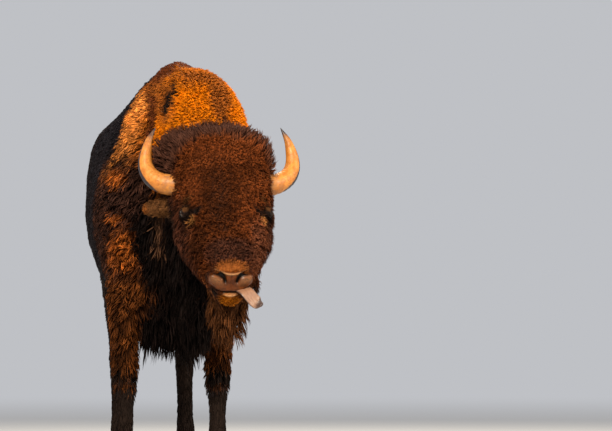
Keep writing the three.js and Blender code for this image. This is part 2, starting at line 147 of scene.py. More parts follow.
# ---- places ----
# The body's own frame has its origin on the floor below the top of the hump. The animal faces -Y, and its
# left is +X. The head's own frame has x across, w out of the forehead and u from the horns to the nose.
def middle(node):
    low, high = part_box(node)
    return np.array((low + high) / 2)


BEHIND_HUMP = 0.270  # how far behind the top of the hump the shoulders' node ends
BODY = np.array([middle("rump")[0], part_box("shoulders")[1].y - BEHIND_HUMP, 0])
HEAD_PITCH, HEAD_TURN = radians(51), Matrix.Rotation(radians(1), 3, "Z")
HEAD_STRAIGHT = (
    (1, 0, 0),
    (0, -sin(HEAD_PITCH), cos(HEAD_PITCH)),
    (0, -cos(HEAD_PITCH), -sin(HEAD_PITCH)),
)
HEAD_AXES = np.array([HEAD_TURN @ Vector(axis) for axis in HEAD_STRAIGHT])
EYE_AT = np.array([0.161, 0.028, 0.178])
HEAD = (middle("eye_left") + middle("eye_right")) / 2 - (0, *EYE_AT[1:]) @ HEAD_AXES


def body(*place):
    return BODY + place


def head(*place):
    return HEAD + np.array(place) @ HEAD_AXES


def in_head(points):
    return (points - HEAD) @ HEAD_AXES.T


# ---- small tools ----
SAME_POINT = 1e-5  # points nearer to each other than this are one


def ramp(low, high, value):
    """0 below low and 1 above high, with a smooth rise between; low may be the larger."""
    t = np.clip((value - low) / (high - low), 0, 1)
    return t * t * (3 - 2 * t)


def unit(vectors):
    return vectors / np.maximum(np.linalg.norm(vectors, axis=-1, keepdims=True), 1e-9)


def deselect():
    bpy.ops.object.select_all(action="DESELECT")


def take(*objects):
    """Selects these objects alone, and makes the first of them the active one."""
    deselect()
    for obj in objects:
        obj.select_set(True)
    bpy.context.view_layer.objects.active = objects[0]


def named(name):
    """The active object, given a name that its mesh takes too."""
    obj = bpy.context.object
    obj.name = obj.data.name = name
    return obj


def joined(name, made):
    take(*made)
    bpy.ops.object.join()
    return named(name)


def edit(obj=None):
    if obj:
        take(obj)
    bpy.ops.object.mode_set(mode="EDIT")
    bpy.ops.mesh.select_mode(type="VERT")
    bpy.ops.mesh.select_all(action="SELECT")


def leave():
    bpy.ops.object.mode_set(mode="OBJECT")


def modify(obj, kind, **settings):
    take(obj)
    bpy.ops.object.modifier_add(type=kind)
    modifier = obj.modifiers[-1]
    for key, value in settings.items():
        setattr(modifier, key, value)
    bpy.ops.object.modifier_apply(modifier=modifier.name)


def numbers(items, name, width=3, kind=np.float32):
    found = np.empty(len(items) * width, kind)
    items.foreach_get(name, found)
    return found.reshape(-1, width) if width > 1 else found


def points_of(obj):
    return numbers(obj.data.vertices, "co").astype(float)


def set_points(obj, points):
    obj.data.vertices.foreach_set("co", points.astype(np.float32).ravel())
    obj.data.update()


def normals_of(obj):
    return numbers(obj.data.vertex_normals, "vector").astype(float)


def attribute(obj, name, values, kind="FLOAT"):
    made = obj.data.attributes.new(name, kind, "POINT")
    made.data.foreach_set("value" if kind == "FLOAT" else "vector", values.astype(np.float32).ravel())


def select_where(obj, chosen):
    """Selects, in edit mode, the vertices of obj for which chosen is true, and what lies between them."""
    edit(obj)
    bpy.ops.mesh.select_all(action="DESELECT")
    leave()
    obj.data.vertices.foreach_set("select", chosen)
    bpy.ops.object.mode_set(mode="EDIT")


def fill_and_face_out():
    """Fills the selected ring and turns the faces of the whole piece outwards."""
    bpy.ops.mesh.edge_face_add()
    bpy.ops.mesh.select_all(action="SELECT")
    bpy.ops.mesh.remove_doubles(threshold=SAME_POINT)
    bpy.ops.mesh.normals_make_consistent(inside=False)
    leave()


def finished(obj, material, slot, *nodes, smooth=None):
    """Gives a piece its material, its body and the nodes that it stands for. slot is not used. smooth is the
    angle in degrees past which an edge stays sharp."""
    obj.data.materials.clear()
    obj.data.materials.append(material)
    take(obj)
    if smooth is None:
        bpy.ops.object.shade_smooth()
    else:
        bpy.ops.object.shade_smooth_by_angle(angle=radians(smooth))
    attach(obj, "root")
    if nodes:
        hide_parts(*nodes)


def from_line(points, *line):
    """How far points lie from a line through the given ones."""
    line = np.array(line, float)
    near = [np.full(len(points), 1e9)]
    for a, b in zip(line, line[1:]):
        along = ((points - a) @ (b - a) / ((b - a) @ (b - a))).clip(0, 1)
        near.append(np.linalg.norm(points - a - along[:, None] * (b - a), axis=1))
    return np.min(near, axis=0)


def mound(distance, width):
    """1 at no distance, falling smoothly to nothing at about twice the width."""
    return np.exp(-((distance / width) ** 2))


def smooth_line(stations, count):
    """A smooth line through the stations, in even steps."""
    p = np.array(stations, float)
    p = np.vstack((2 * p[0] - p[1], p, 2 * p[-1] - p[-2]))
    t = np.linspace(0, 1, 24, endpoint=False)[:, None]
    dense = [
        0.5 * (2 * b + (c - a) * t + (2 * a - 5 * b + 4 * c - d) * t**2 + (3 * b - a - 3 * c + d) * t**3)
        for a, b, c, d in zip(p, p[1:], p[2:], p[3:])
    ]
    dense = np.vstack((*dense, p[-2:-1]))
    run = np.r_[0, np.cumsum(np.linalg.norm(np.diff(dense, axis=0), axis=1))]
    at = np.linspace(0, run[-1], count)
    return np.column_stack([np.interp(at, run, dense[:, k]) for k in range(3)])


def turn(matrix, centre, back=False):
    """Turns what is selected about a point, one axis of the world after another."""
    angles = matrix.to_euler("XYZ")
    for axis in "ZYX" if back else "XYZ":
        angle = angles["XYZ".index(axis)]
        bpy.ops.transform.rotate(value=angle if back else -angle, orient_axis=axis, center_override=centre)


def sweep(name, line, across, sizes, sides):
    """Draws a circle out along a line: it is extruded, turned and stretched at each step. across is the way
    in which the section is wide, and sizes(t) gives its half-width and half-depth at a share t of the line.
    The last ring stays selected, in edit mode."""
    deselect()
    bpy.ops.mesh.primitive_circle_add(vertices=sides, radius=1)
    obj = named(name)
    edit()
    here, before, stand = Vector((0, 0, 0)), (1, 1), None
    headings = np.gradient(line, axis=0)
    for n, place in enumerate(line):
        along = Vector(headings[n]).normalized()
        side = (Vector(across) - along * along.dot(Vector(across))).normalized()
        if n:
            bpy.ops.mesh.extrude_region_move(TRANSFORM_OT_translate={"value": (0, 0, 0)})
            turn(stand, here, back=True)
        wide, deep = sizes(n / (len(line) - 1))
        bpy.ops.transform.resize(value=(wide / before[0], deep / before[1], 1), center_override=here)
        stand = Matrix((side, along.cross(side), along)).transposed()
        turn(stand, here)
        bpy.ops.transform.translate(value=Vector(place) - here)
        here, before = Vector(place), (wide, deep)
    return obj


def close_ends(obj, sides):
    """Draws the last ring of a swept piece to a point, and fills its first one."""
    bpy.ops.mesh.merge(type="CENTER")
    leave()
    select_where(obj, np.arange(len(obj.data.vertices)) < sides)
    fill_and_face_out()


def ring_of(obj, sides):
    """The number of the ring that each point of a swept piece lies on."""
    return np.arange(len(obj.data.vertices)) // sides


def along_and_round(obj, sides):
    """Notes on a swept piece how far along (0 to 1) and how far round (0 to 1) each point lies."""
    ring = ring_of(obj, sides)
    attribute(obj, "along", ring / ring[-1])
    attribute(obj, "round", np.arange(len(ring)) % sides / sides)


# ---- shaders ----
class Value:
    """A number on a wire of a shader, which sums can be written with."""

    def __init__(self, graph, socket):
        self.graph, self.socket = graph, socket

    def sum(self, operation, *others):
        inputs = dict(enumerate((self, *others)))
        return self.graph.node("ShaderNodeMath", {"operation": operation}, inputs)

    def __add__(self, other):
        return self.sum("ADD", other)

    __radd__ = __add__

    def __mul__(self, other):
        return self.sum("MULTIPLY", other)

    __rmul__ = __mul__

    def __sub__(self, other):
        return self.sum("SUBTRACT", other)

    def __rsub__(self, other):
        return self.graph.node("ShaderNodeMath", {"operation": "SUBTRACT"}, {0: other, 1: self})

    def __truediv__(self, other):
        return self.sum("DIVIDE", other)

    def __pow__(self, other):
        return self.sum("POWER", other)

    def __abs__(self):
        return self.sum("ABSOLUTE")

    def ramp(self, low, high, start=0.0, end=1.0):
        """A smooth rise from start at low to end at high."""
        if low > high:
            low, high, start, end = high, low, end, start
        inputs = {"Value": self, "From Min": low, "From Max": high, "To Min": start, "To Max": end}
        return self.graph.node("ShaderNodeMapRange", {"interpolation_type": "SMOOTHSTEP"}, inputs)


class Graph:
    """One material and its nodes."""

    def __init__(self, name):
        self.material = bpy.data.materials.new(name)
        self.material.use_nodes = True
        self.tree = self.material.node_tree
        self.shader = self.tree.nodes["Principled BSDF"]
        self.place = self.node("ShaderNodeTexCoord", output="Object")

    def node(self, kind, settings=None, inputs=None, output=0):
        """Adds a node, sets it up, and gives its sockets their numbers, colours or links."""
        made = self.tree.nodes.new(kind)
        for key, value in (settings or {}).items():
            setattr(made, key, value)
        for key, value in (inputs or {}).items():
            if isinstance(value, Value):
                self.tree.links.new(value.socket, made.inputs[key])
            else:
                made.inputs[key].default_value = value
        return Value(self, made.outputs[output])

    def vector(self, operation, *inputs, output=0):
        inputs = {n: i if isinstance(i, Value) else tuple(i) for n, i in enumerate(inputs)}
        return self.node("ShaderNodeVectorMath", {"operation": operation}, inputs, output)

    def dot(self, a, b):
        return self.vector("DOT_PRODUCT", a, b, output="Value")

    def mix(self, factor, a, b, blend="MIX"):
        """Mixes two colours. The node has its colours in sockets 6 and 7, and gives one in its output 2."""
        colours = {key: c if isinstance(c, Value) else (*c, 1) for key, c in ((6, a), (7, b))}
        settings = {"data_type": "RGBA", "blend_type": blend}
        return self.node("ShaderNodeMix", settings, {0: factor, **colours}, 2)

    def tint(self, colour, by):
        return self.mix(1.0, colour, by, "MULTIPLY")

    def tone(self, name):
        """A colour that the user has set."""
        return tuple(getattr(bpy.context.scene.bison_colours, name))

    def pack(self, x, y, z):
        return self.node("ShaderNodeCombineXYZ", {}, {0: x, 1: y, 2: z})

    def grey(self, value):
        return self.pack(value, value, value)

    def top(self, a, b):
        """The larger of two numbers."""
        return a.sum("MAXIMUM", b)

    def noise(self, scale, detail=2.0, place=None):
        inputs = {"Vector": place or self.place, "Scale": scale, "Detail": detail}
        return self.node("ShaderNodeTexNoise", {}, inputs)

    def own(self, name, output="Fac"):
        return self.node("ShaderNodeAttribute", {"attribute_name": name}, output=output)

    def stretch(self, scale, place=None, turned=(0, 0, 0)):
        inputs = {"Vector": place or self.place, "Scale": scale, "Rotation": turned}
        return self.node("ShaderNodeMapping", {}, inputs)

    def bump(self, height, distance, strength, normal=None):
        inputs = {"Height": height, "Distance": distance, "Strength": strength}
        if normal:
            inputs["Normal"] = normal
        return self.node("ShaderNodeBump", {}, inputs)

    def surface(self, **inputs):
        """Sets the shader's sockets, such as base_color or coat_weight, and returns the material."""
        for key, value in inputs.items():
            socket = self.shader.inputs[key.replace("_", " ").title().replace("Ior", "IOR")]
            if isinstance(value, Value):
                self.tree.links.new(value.socket, socket)
            else:
                socket.default_value = (*value, 1) if isinstance(value, tuple) else value
        return self.material


# ---- the coat's areas ----
# Each area is an oval that blends at its edge into the ones before it. "body" and "head" give the frame
# that its centre, radii and lie are in. "body_pair" and "head_pair" lie on both sides alike, so their x is
# never negative. soft is the share of the radii over which it blends. depth is the coat's thickness over
# the skin, length and width are a lock's, density is locks to a square metre, and curl is the radius of a
# lock's curl. clump is how far locks draw together, wild how far they stray, fan how far they point away
# from the area's middle, sink how far the skin dips, tuft how much the coat parts into tufts with painted
# shade in the gaps, calm how even its colour is, and hang how far its locks hang out below. Metres
# throughout.
DOWN = (0, 0, -1)
HEAD_DOWN = tuple(HEAD_AXES @ np.array(DOWN))
PLAIN = {
    "depth": 0.006,
    "length": 0.040,
    "width": 0.0064,
    "density": 6600,
    "curl": 0.0005,
    "clump": 0.25,
    "wild": 0.13,
    "fan": 0.0,
    "sink": 0.0,
    "tuft": 0.0,
    "calm": 0.0,
    "hang": 0.0,
}


def area(place, centre, radii, soft=0.25, lie=None, **values):
    return {"place": place, "centre": centre, "radii": radii, "soft": soft, "lie": lie, **values}


def leg_area(node, grow, **values):
    """An area round a node of a leg or the tail, hanging straight down and grow times as wide as the node."""
    low, high = (np.array(corner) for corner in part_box(node))
    centre, half = (low + high) / 2 - BODY, (high - low) / 2
    radii = (half[0] * grow, half[1] * grow, half[2] * 1.12)
    return area("body", tuple(centre), tuple(radii), lie=DOWN, **values)


EAR = {
    "colour": "ear_brown",
    "depth": 0.004,
    "length": 0.018,
    "width": 0.0034,
    "density": 38000,
    "curl": 0.001,
    "clump": 0.3,
    "wild": 0.35,
    "tuft": 0.2,
}
AREAS = [
    # the cape over hump and shoulders
    area(
        "body", (0, -0.36, 1.15), (0.72, 0.51, 1.15), 0.10, (0, 0.45, -0.9), colour="cape_brown",
        depth=0.022, length=0.044, width=0.0070, density=12500, curl=0.004, clump=0.5, wild=0.45, tuft=0.6,
    ),
    # bright strips down the sides of the hump: partly paler wool, partly painted sunlight
    *(
        area("body_pair", (x, -0.05, z), (0.028, 0.21, 0.080), 0.5, colour="cape_sunlit_orange")
        for x, z in ((0.140, 1.54), (0.178, 1.45), (0.212, 1.36), (0.245, 1.28))
    ),
    area("body_pair", (0.24, 0.17, 1.58), (0.14, 0.15, 0.20), 0.2, colour="flank_black_sheen"),
    area("body_pair", (0.27, 0.12, 1.44), (0.12, 0.17, 0.14), 0.15, colour="flank_black_sheen"),
    area(
        "body", (0.02, -0.06, 1.72), (0.18, 0.22, 0.13), 0.35, colour="hump_red",
        depth=0.009, length=0.022, width=0.0046, density=25000, curl=0.001, wild=0.3, tuft=0.1, calm=0.8,
    ),
    area("body_pair", (0.15, 0.18, 1.67), (0.15, 0.16, 0.13), 0.2, colour="flank_black_sheen"),
    # the neck's woolly top, with a dark band down it and a crease beside it darkened with painted shade
    # the neck's top: partly paler wool, partly painted sunlight
    area(
        "body", (0.09, -0.36, 1.48), (0.25, 0.30, 0.27), 0.22, (0, 0.1, -1), colour="neck_sunlit_orange",
        depth=0.018, length=0.022, width=0.0042, density=36000, curl=0.0040, clump=0.5, wild=0.8, tuft=0.3,
        calm=0.5,
    ),
    area("body", (0.128, -0.38, 1.56), (0.042, 0.30, 0.12), 0.55, colour="cape_brown"),
    area("body", (0.06, -0.38, 1.66), (0.20, 0.20, 0.06), 0.5, colour="cape_brown"),
    area("body", (-0.070, -0.35, 1.54), (0.042, 0.30, 0.09), 0.5, colour="cape_brown"),
    *(
        area("body", (x, -0.30, z), (0.018, 0.25, 0.06), 0.6, colour="hump_red", sink=0.012)
        for x, z in ((-0.110, 1.56), (-0.118, 1.48), (-0.135, 1.40))
    ),
    # painted shade in the crease beside the neck's top, where the skin dips
    *(
        area("body", (x, -0.30, z), (wide, 0.25, 0.034), 0.5, colour="dark_hair", length=0.014, sink=0.03)
        for x, z, wide in ((-0.036, 1.585, 0.012), (-0.056, 1.550, 0.017), (-0.069, 1.508, 0.014))
    ),
    # the shaggy lower shoulder with its tufts, brightened in part with painted sunlight, and the chest
    area(
        "body_pair", (0.29, -0.16, 1.06), (0.20, 0.36, 0.29), 0.3, (0, 0.2, -1), colour="shoulder_dark",
        depth=0.034, length=0.070, width=0.0080, density=10500, curl=0.006, clump=0.7, wild=0.5, tuft=0.95,
    ),
    # the chest and the hair hanging below it: dark hair, darkened further with painted shade under the head
    area(
        "body", (0.02, -0.44, 0.84), (0.22, 0.36, 0.42), 0.22, DOWN, colour="chest_black_shaded",
        depth=0.040, length=0.105, width=0.0080, density=8500, curl=0.004, clump=0.6, wild=0.3, tuft=0.8,
    ),
    area(
        "body", (0, -0.12, 0.60), (0.24, 0.34, 0.13), 0.3, DOWN, colour="chest_black_shaded", length=0.11, hang=0.06
    ),
    # bright tufts: partly paler hair, partly painted sunlight
    area(
        "body_pair", (0.208, -0.17, 0.955), (0.066, 0.20, 0.095), 0.4, colour="tuft_sunlit_orange",
        length=0.046, width=0.0070, curl=0.007, clump=0.85, wild=0.45, density=14000, tuft=1.1,
    ),
    area("body_pair", (0.172, -0.22, 1.185), (0.070, 0.26, 0.132), 0.3, colour="shoulder_dark"),
    # spots of bright tufts, partly painted sunlight
    area("body_pair", (0.248, -0.18, 1.250), (0.032, 0.20, 0.034), 0.6, colour="tuft_sunlit_orange"),
    area("body_pair", (0.255, -0.16, 1.085), (0.026, 0.16, 0.018), 0.7, colour="tuft_sunlit_orange"),
    area("body", (-0.030, -0.62, 0.83), (0.035, 0.15, 0.09), 0.5, colour="jaw_brown"),
    # black on the right side of the neck and chest: dark hair with painted shade
    area("body", (-0.12, -0.30, 0.99), (0.09, 0.20, 0.17), 0.3, colour="chest_black_shaded"),
    area("body", (-0.06, -0.30, 0.75), (0.13, 0.16, 0.26), 0.3, colour="chest_black_shaded"),
    # legs
    area("body_pair", (0.25, -0.10, 0.74), (0.20, 0.34, 0.11), 0.4, colour="foreleg_brown"),
    *(
        leg_area(
            "upper_foreleg_" + side, 1.3, colour="foreleg_brown", depth=0.018, length=0.062,
            width=0.0070, density=12000, curl=0.0035, clump=0.65, wild=0.25, tuft=0.9,
        )
        for side in SIDES
    ),
    # between the forelegs: dark hair with painted shade
    area("body", (-0.05, -0.10, 0.62), (0.125, 0.24, 0.32), 0.3, colour="chest_black_shaded"),
    area("body_pair", (0.19, -0.06, 0.435), (0.12, 0.20, 0.035), 0.5, colour="dark_hair"),
    *(
        leg_area(
            name + side, 1.4, colour="dark_hair", depth=0.0035, length=0.030, width=0.0046,
            density=12500, curl=0.0, clump=0.2, wild=0.12, tuft=0.2,
        )
        for name in ("lower_foreleg_", "lower_hindleg_")
        for side in SIDES
    ),
    leg_area(
        "tail", 1.8, colour="dark_hair", depth=0.006, length=0.036, width=0.0050, density=14000, wild=0.15
    ),
    leg_area(
        "tail_tuft", 1.8, colour="dark_hair", depth=0.018, length=0.15, width=0.0055, density=22000,
        wild=0.12, clump=0.5,
    ),
    area("body", (0, 1.15, 1.10), (0.50, 0.50, 0.62), 0.6, colour="rump_brown"),
    # the head: wool all over, then what differs from it
    area(
        "head", (0, 0, 0.14), (0.32, 0.28, 0.40), 0.12, (0, 0, 0.35), colour="head_brown",
        depth=0.020, length=0.024, width=0.0046, density=33000, curl=0.0040, clump=0.5, wild=1.1, tuft=0.45,
    ),
    area(
        "body", (-0.07, -0.50, 1.285), (0.15, 0.13, 0.145), 0.3, (-0.4, -0.2, -0.8), colour="crown_dark",
        depth=0.040, length=0.052, width=0.0065, density=16000, curl=0.010, clump=0.7, wild=0.7, tuft=0.7,
    ),
    area(
        "head", (0, 0.04, -0.15), (0.30, 0.25, 0.12), 0.2, (0, 0.25, -1), colour="crown_dark",
        depth=0.036, length=0.046, width=0.0050, density=22000, curl=0.002, clump=0.5, wild=0.3, tuft=0.5,
        fan=0.9,
    ),
    area(
        "head", (0.215, 0, -0.10), (0.075, 0.22, 0.11), 0.25, (0.6, 0.1, -0.6), colour="crown_dark",
        depth=0.036, length=0.062, width=0.0054, density=18000, curl=0.002, clump=0.7, wild=0.35, tuft=0.5,
        fan=0.9,
    ),
    # the forehead's round of short close wool
    area(
        "head", (-0.035, 0.15, 0.06), (0.190, 0.17, 0.168), 0.12, (0, 0, 0.35), colour="head_brown",
        depth=0.014, length=0.017, width=0.0040, density=46000, curl=0.0040, clump=0.55, wild=1.2, tuft=0.5,
        fan=0.0,
    ),
    area("head", (-0.02, 0.15, -0.03), (0.15, 0.15, 0.07), 0.7, colour="dome_red"),
    area("head_pair", (0.135, 0.08, 0.10), (0.045, 0.10, 0.07), 0.6, colour="dome_red"),
    area("head", (0.085, 0.08, 0.22), (0.055, 0.10, 0.13), 0.6, colour="dome_red"),
    area("head", (0.10, 0.12, -0.04), (0.05, 0.10, 0.07), 0.6, colour="dome_red"),
    area("head", (-0.040, 0.12, 0.185), (0.045, 0.10, 0.10), 0.9, colour="face_dark"),
    area(
        "head_pair", (0.19, -0.12, 0.22), (0.12, 0.16, 0.22), 0.3, (0.5, -0.35, 0.7), colour="cheek_dark",
        depth=0.028, length=0.048, width=0.0060, density=19000, curl=0.005, clump=0.6, wild=0.5, tuft=0.75,
    ),
    # reddish locks on the left cheek, brightened with painted light on that side
    area("head", (0.115, 0.02, 0.36), (0.040, 0.10, 0.14), 0.6, colour="cheek_red"),
    area("head", (-0.125, 0.03, 0.345), (0.038, 0.09, 0.065), 0.7, colour="face_dark"),
    # painted shadow in the hollow behind the right cheek, by the ear
    area("head", (-0.235, -0.06, 0.13), (0.055, 0.16, 0.16), 0.3, colour="lid_dark"),
    area(
        "head", (0, -0.22, 0.33), (0.26, 0.13, 0.25), 0.3, HEAD_DOWN, colour="jaw_brown",
        depth=0.030, length=0.070, width=0.0068, density=13000, curl=0.004, clump=0.6, wild=0.28, tuft=0.8,
    ),
    area(
        "head", (0, 0.085, 0.40), (0.13, 0.10, 0.05), 0.35, (0, 0.2, -1), colour="cheek_dark",
        depth=0.014, length=0.020, width=0.0048, density=26000,
    ),
    # darker hair in the hollow above the inner corner of each eye, deepened with painted shade
    area("head_pair", (0.128, 0.085, 0.195), (0.030, 0.05, 0.020), 0.5, colour="dark_hair", sink=0.008),
    area(
        "head_pair", (0.165, 0.035, 0.178), (0.036, 0.045, 0.040), 0.4, (0.6, 0, 0.4), colour="lid_dark",
        depth=0.007, length=0.009, width=0.0028, density=52000, curl=0.001, wild=0.25, fan=0.6,
    ),
    area("head_pair", (0.138, 0.065, 0.225), (0.014, 0.04, 0.018), 0.6, colour="eye_tan"),
    # painted highlight on each brow above the eye
    area("head_pair", (0.155, 0.07, 0.130), (0.024, 0.04, 0.014), 0.7, colour="ear_brown"),
    area(
        "body", (0.128, -0.74, 0.69), (0.13, 0.14, 0.20), 0.3, DOWN, colour="beard_brown",
        depth=0.038, length=0.11, width=0.0068, density=15000, curl=0.004, clump=0.6, wild=0.2, tuft=0.8,
    ),
    # painted shade in the dark band between the right cheek and the neck
    area("body", (-0.066, -0.52, 1.05), (0.025, 0.13, 0.13), 0.5, colour="dark_hair"),
    area("body", (-0.100, -0.42, 1.03), (0.024, 0.16, 0.085), 0.5, colour="tan_streak"),
    # painted shadow under the chin, where the skin dips
    area("head", (0.01, -0.165, 0.51), (0.050, 0.020, 0.03), 0.4, colour="dark_hair", sink=0.006),
    # painted shadow on the right side of the nose, between the jaw hair and the nose
    area("head", (-0.105, -0.03, 0.46), (0.028, 0.06, 0.045), 0.5, colour="dark_hair"),
    # the muzzle: short hair, the bare nose and the lip
    area(
        "head", (0, -0.03, 0.50), (0.105, 0.12, 0.075), 0.2, (0, 0.3, -1), colour="cheek_dark",
        depth=0.005, length=0.010, width=0.0024, density=95000, curl=0.0008, clump=0.3, wild=0.30, tuft=0.0,
        calm=0.45,
    ),
    area(
        "head", (0, 0.045, 0.478), (0.070, 0.050, 0.036), 0.35, colour="muzzle_tan",
        length=0.0065, width=0.0020, density=120000, wild=0.15, calm=0.6,
    ),
    area(
        "head", (-0.003, -0.014, 0.50), (0.096, 0.054, 0.052), 0.10, colour="nose_brown",
        depth=0.001, density=0,
    ),
    # painted shade at both corners of the mouth
    area("head_pair", (0.060, -0.085, 0.50), (0.018, 0.035, 0.03), 0.5, colour="dark_hair"),
    area(
        "head", (0, -0.105, 0.525), (0.046, 0.042, 0.035), 0.3, colour="chin_tan",
        depth=0.003, length=0.0055, width=0.0020, density=130000, wild=0.15, calm=0.6,
    ),
    # the eyelids' short hair lies away from the eye and leaves a bare rim, with painted light on the brow
    area(
        "head_pair", (0.178, 0.043, 0.186), (0.030, 0.032, 0.030), 0.25, (0, 0, 0), colour="lid_dark",
        depth=0.004, length=0.008, width=0.0024, density=110000, curl=0.0, wild=0.2, fan=1.0, tuft=0.0,
    ),
    # painted light on the upper lid, which makes it paler
    area("head_pair", (0.180, 0.066, 0.166), (0.034, 0.024, 0.024), 0.4, colour="ear_brown"),
    area("head_pair", (0.178, 0.043, 0.186), (0.0085, 0.0095, 0.0130), 0.15, density=0),
    # the ears: the right one reaches out sideways, and the left one back and up beside the neck
    area("head", (-0.262, -0.112, 0.028), (0.085, 0.045, 0.065), 0.2, (-1, -0.1, 0), **EAR),
    area("head", (0.205, -0.195, 0.012), (0.055, 0.095, 0.060), 0.2, (0.5, -1, -0.3), **EAR),
    area("head", (-0.315, -0.122, 0.024), (0.022, 0.050, 0.050), 0.7, colour="muzzle_tan"),
]


FRAMES = ("body", "body_pair", "head", "head_pair")


def seen_from(places, kind):
    """Points in the frame that an area is written in."""
    found = in_head(places) if kind.startswith("head") else places - BODY
    if kind.endswith("pair"):
        found = np.column_stack((np.abs(found[:, 0]), found[:, 1:]))
    return found


def coat_at(places):
    """What the coat is like at each point: numbers for each word of PLAIN, and the lie as vectors."""
    frames = {kind: seen_from(places, kind) for kind in FRAMES}
    coat = {key: np.full(len(places), float(value)) for key, value in PLAIN.items()}
    lie = np.tile(np.array((0, 0.8, -0.6)), (len(places), 1))
    outward = np.zeros((len(places), 3))
    for spot in AREAS:
        base, _, pair = spot["place"].partition("_")
        off = (frames[spot["place"]] - spot["centre"]) / np.array(spot["radii"])
        share = ramp(1 + spot["soft"], 1 - spot["soft"], np.linalg.norm(off, axis=1))
        for key in PLAIN:
            if key in spot:
                coat[key] += (spot[key] - coat[key]) * share
        if spot["lie"] or "fan" in spot:
            sign = np.ones((len(places), 3))
            if pair:
                sign[:, 0] = np.sign(frames[base][:, 0])
            axes = HEAD_AXES if base == "head" else np.eye(3)
            away = (unit(off) * sign) @ axes
            outward += (away - outward) * share[:, None]
            if spot["lie"]:
                heading = (np.array(spot["lie"]) * sign) @ axes
                lie += (heading - lie) * share[:, None]
    coat["lie"] = lie + outward * coat["fan"][:, None]
    return coat


def ragged(g, place):
    """A number that ravels the edges of the coat's areas, more from side to side than down the hair."""
    broad, fine = g.noise(9.0, 2.0, place) - 0.5, g.noise(60.0, 1.0, place) - 0.5
    return broad * 0.5 + fine * 0.3 + (g.noise(1.0, 2.0, g.stretch((28, 28, 9), place)) - 0.5) * 0.5


def markings(g, place, loose):
    """The coat's colour at a place, the same for skin and locks. loose ravels the edges of the areas."""
    here = {"body": g.vector("SUBTRACT", place, BODY)}
    off = g.vector("SUBTRACT", place, HEAD)
    across, out, along = (g.dot(off, axis) for axis in HEAD_AXES)
    here["head"] = g.pack(across, out, along)
    here["head_pair"] = g.pack(abs(across), out, along)
    split = [g.dot(here["body"], axis) for axis in np.eye(3)]
    here["body_pair"] = g.pack(abs(split[0]), split[1], split[2])
    colour = g.mix(0.0, g.tone("flank_black_sheen"), (0, 0, 0))
    for spot in AREAS:
        if "colour" not in spot:
            continue
        offset = g.vector("SUBTRACT", here[spot["place"]], spot["centre"])
        reach = g.vector("LENGTH", g.vector("DIVIDE", offset, spot["radii"]), output="Value")
        soft = max(spot["soft"] * 0.8, 0.05)
        share = (reach + loose).ramp(1 + soft, 1 - soft)
        colour = g.mix(share, colour, g.tone(spot["colour"]))
    return colour


# ---- the coat ----
def both(name, rings, slot, *spots):
    """The same piece of coat on the left and on the right."""
    return {
        name + "_" + word: (slot, rings, [(kind, side * x, y, z) for kind, x, y, z in spots])
        for word, side in SIDES.items()
    }


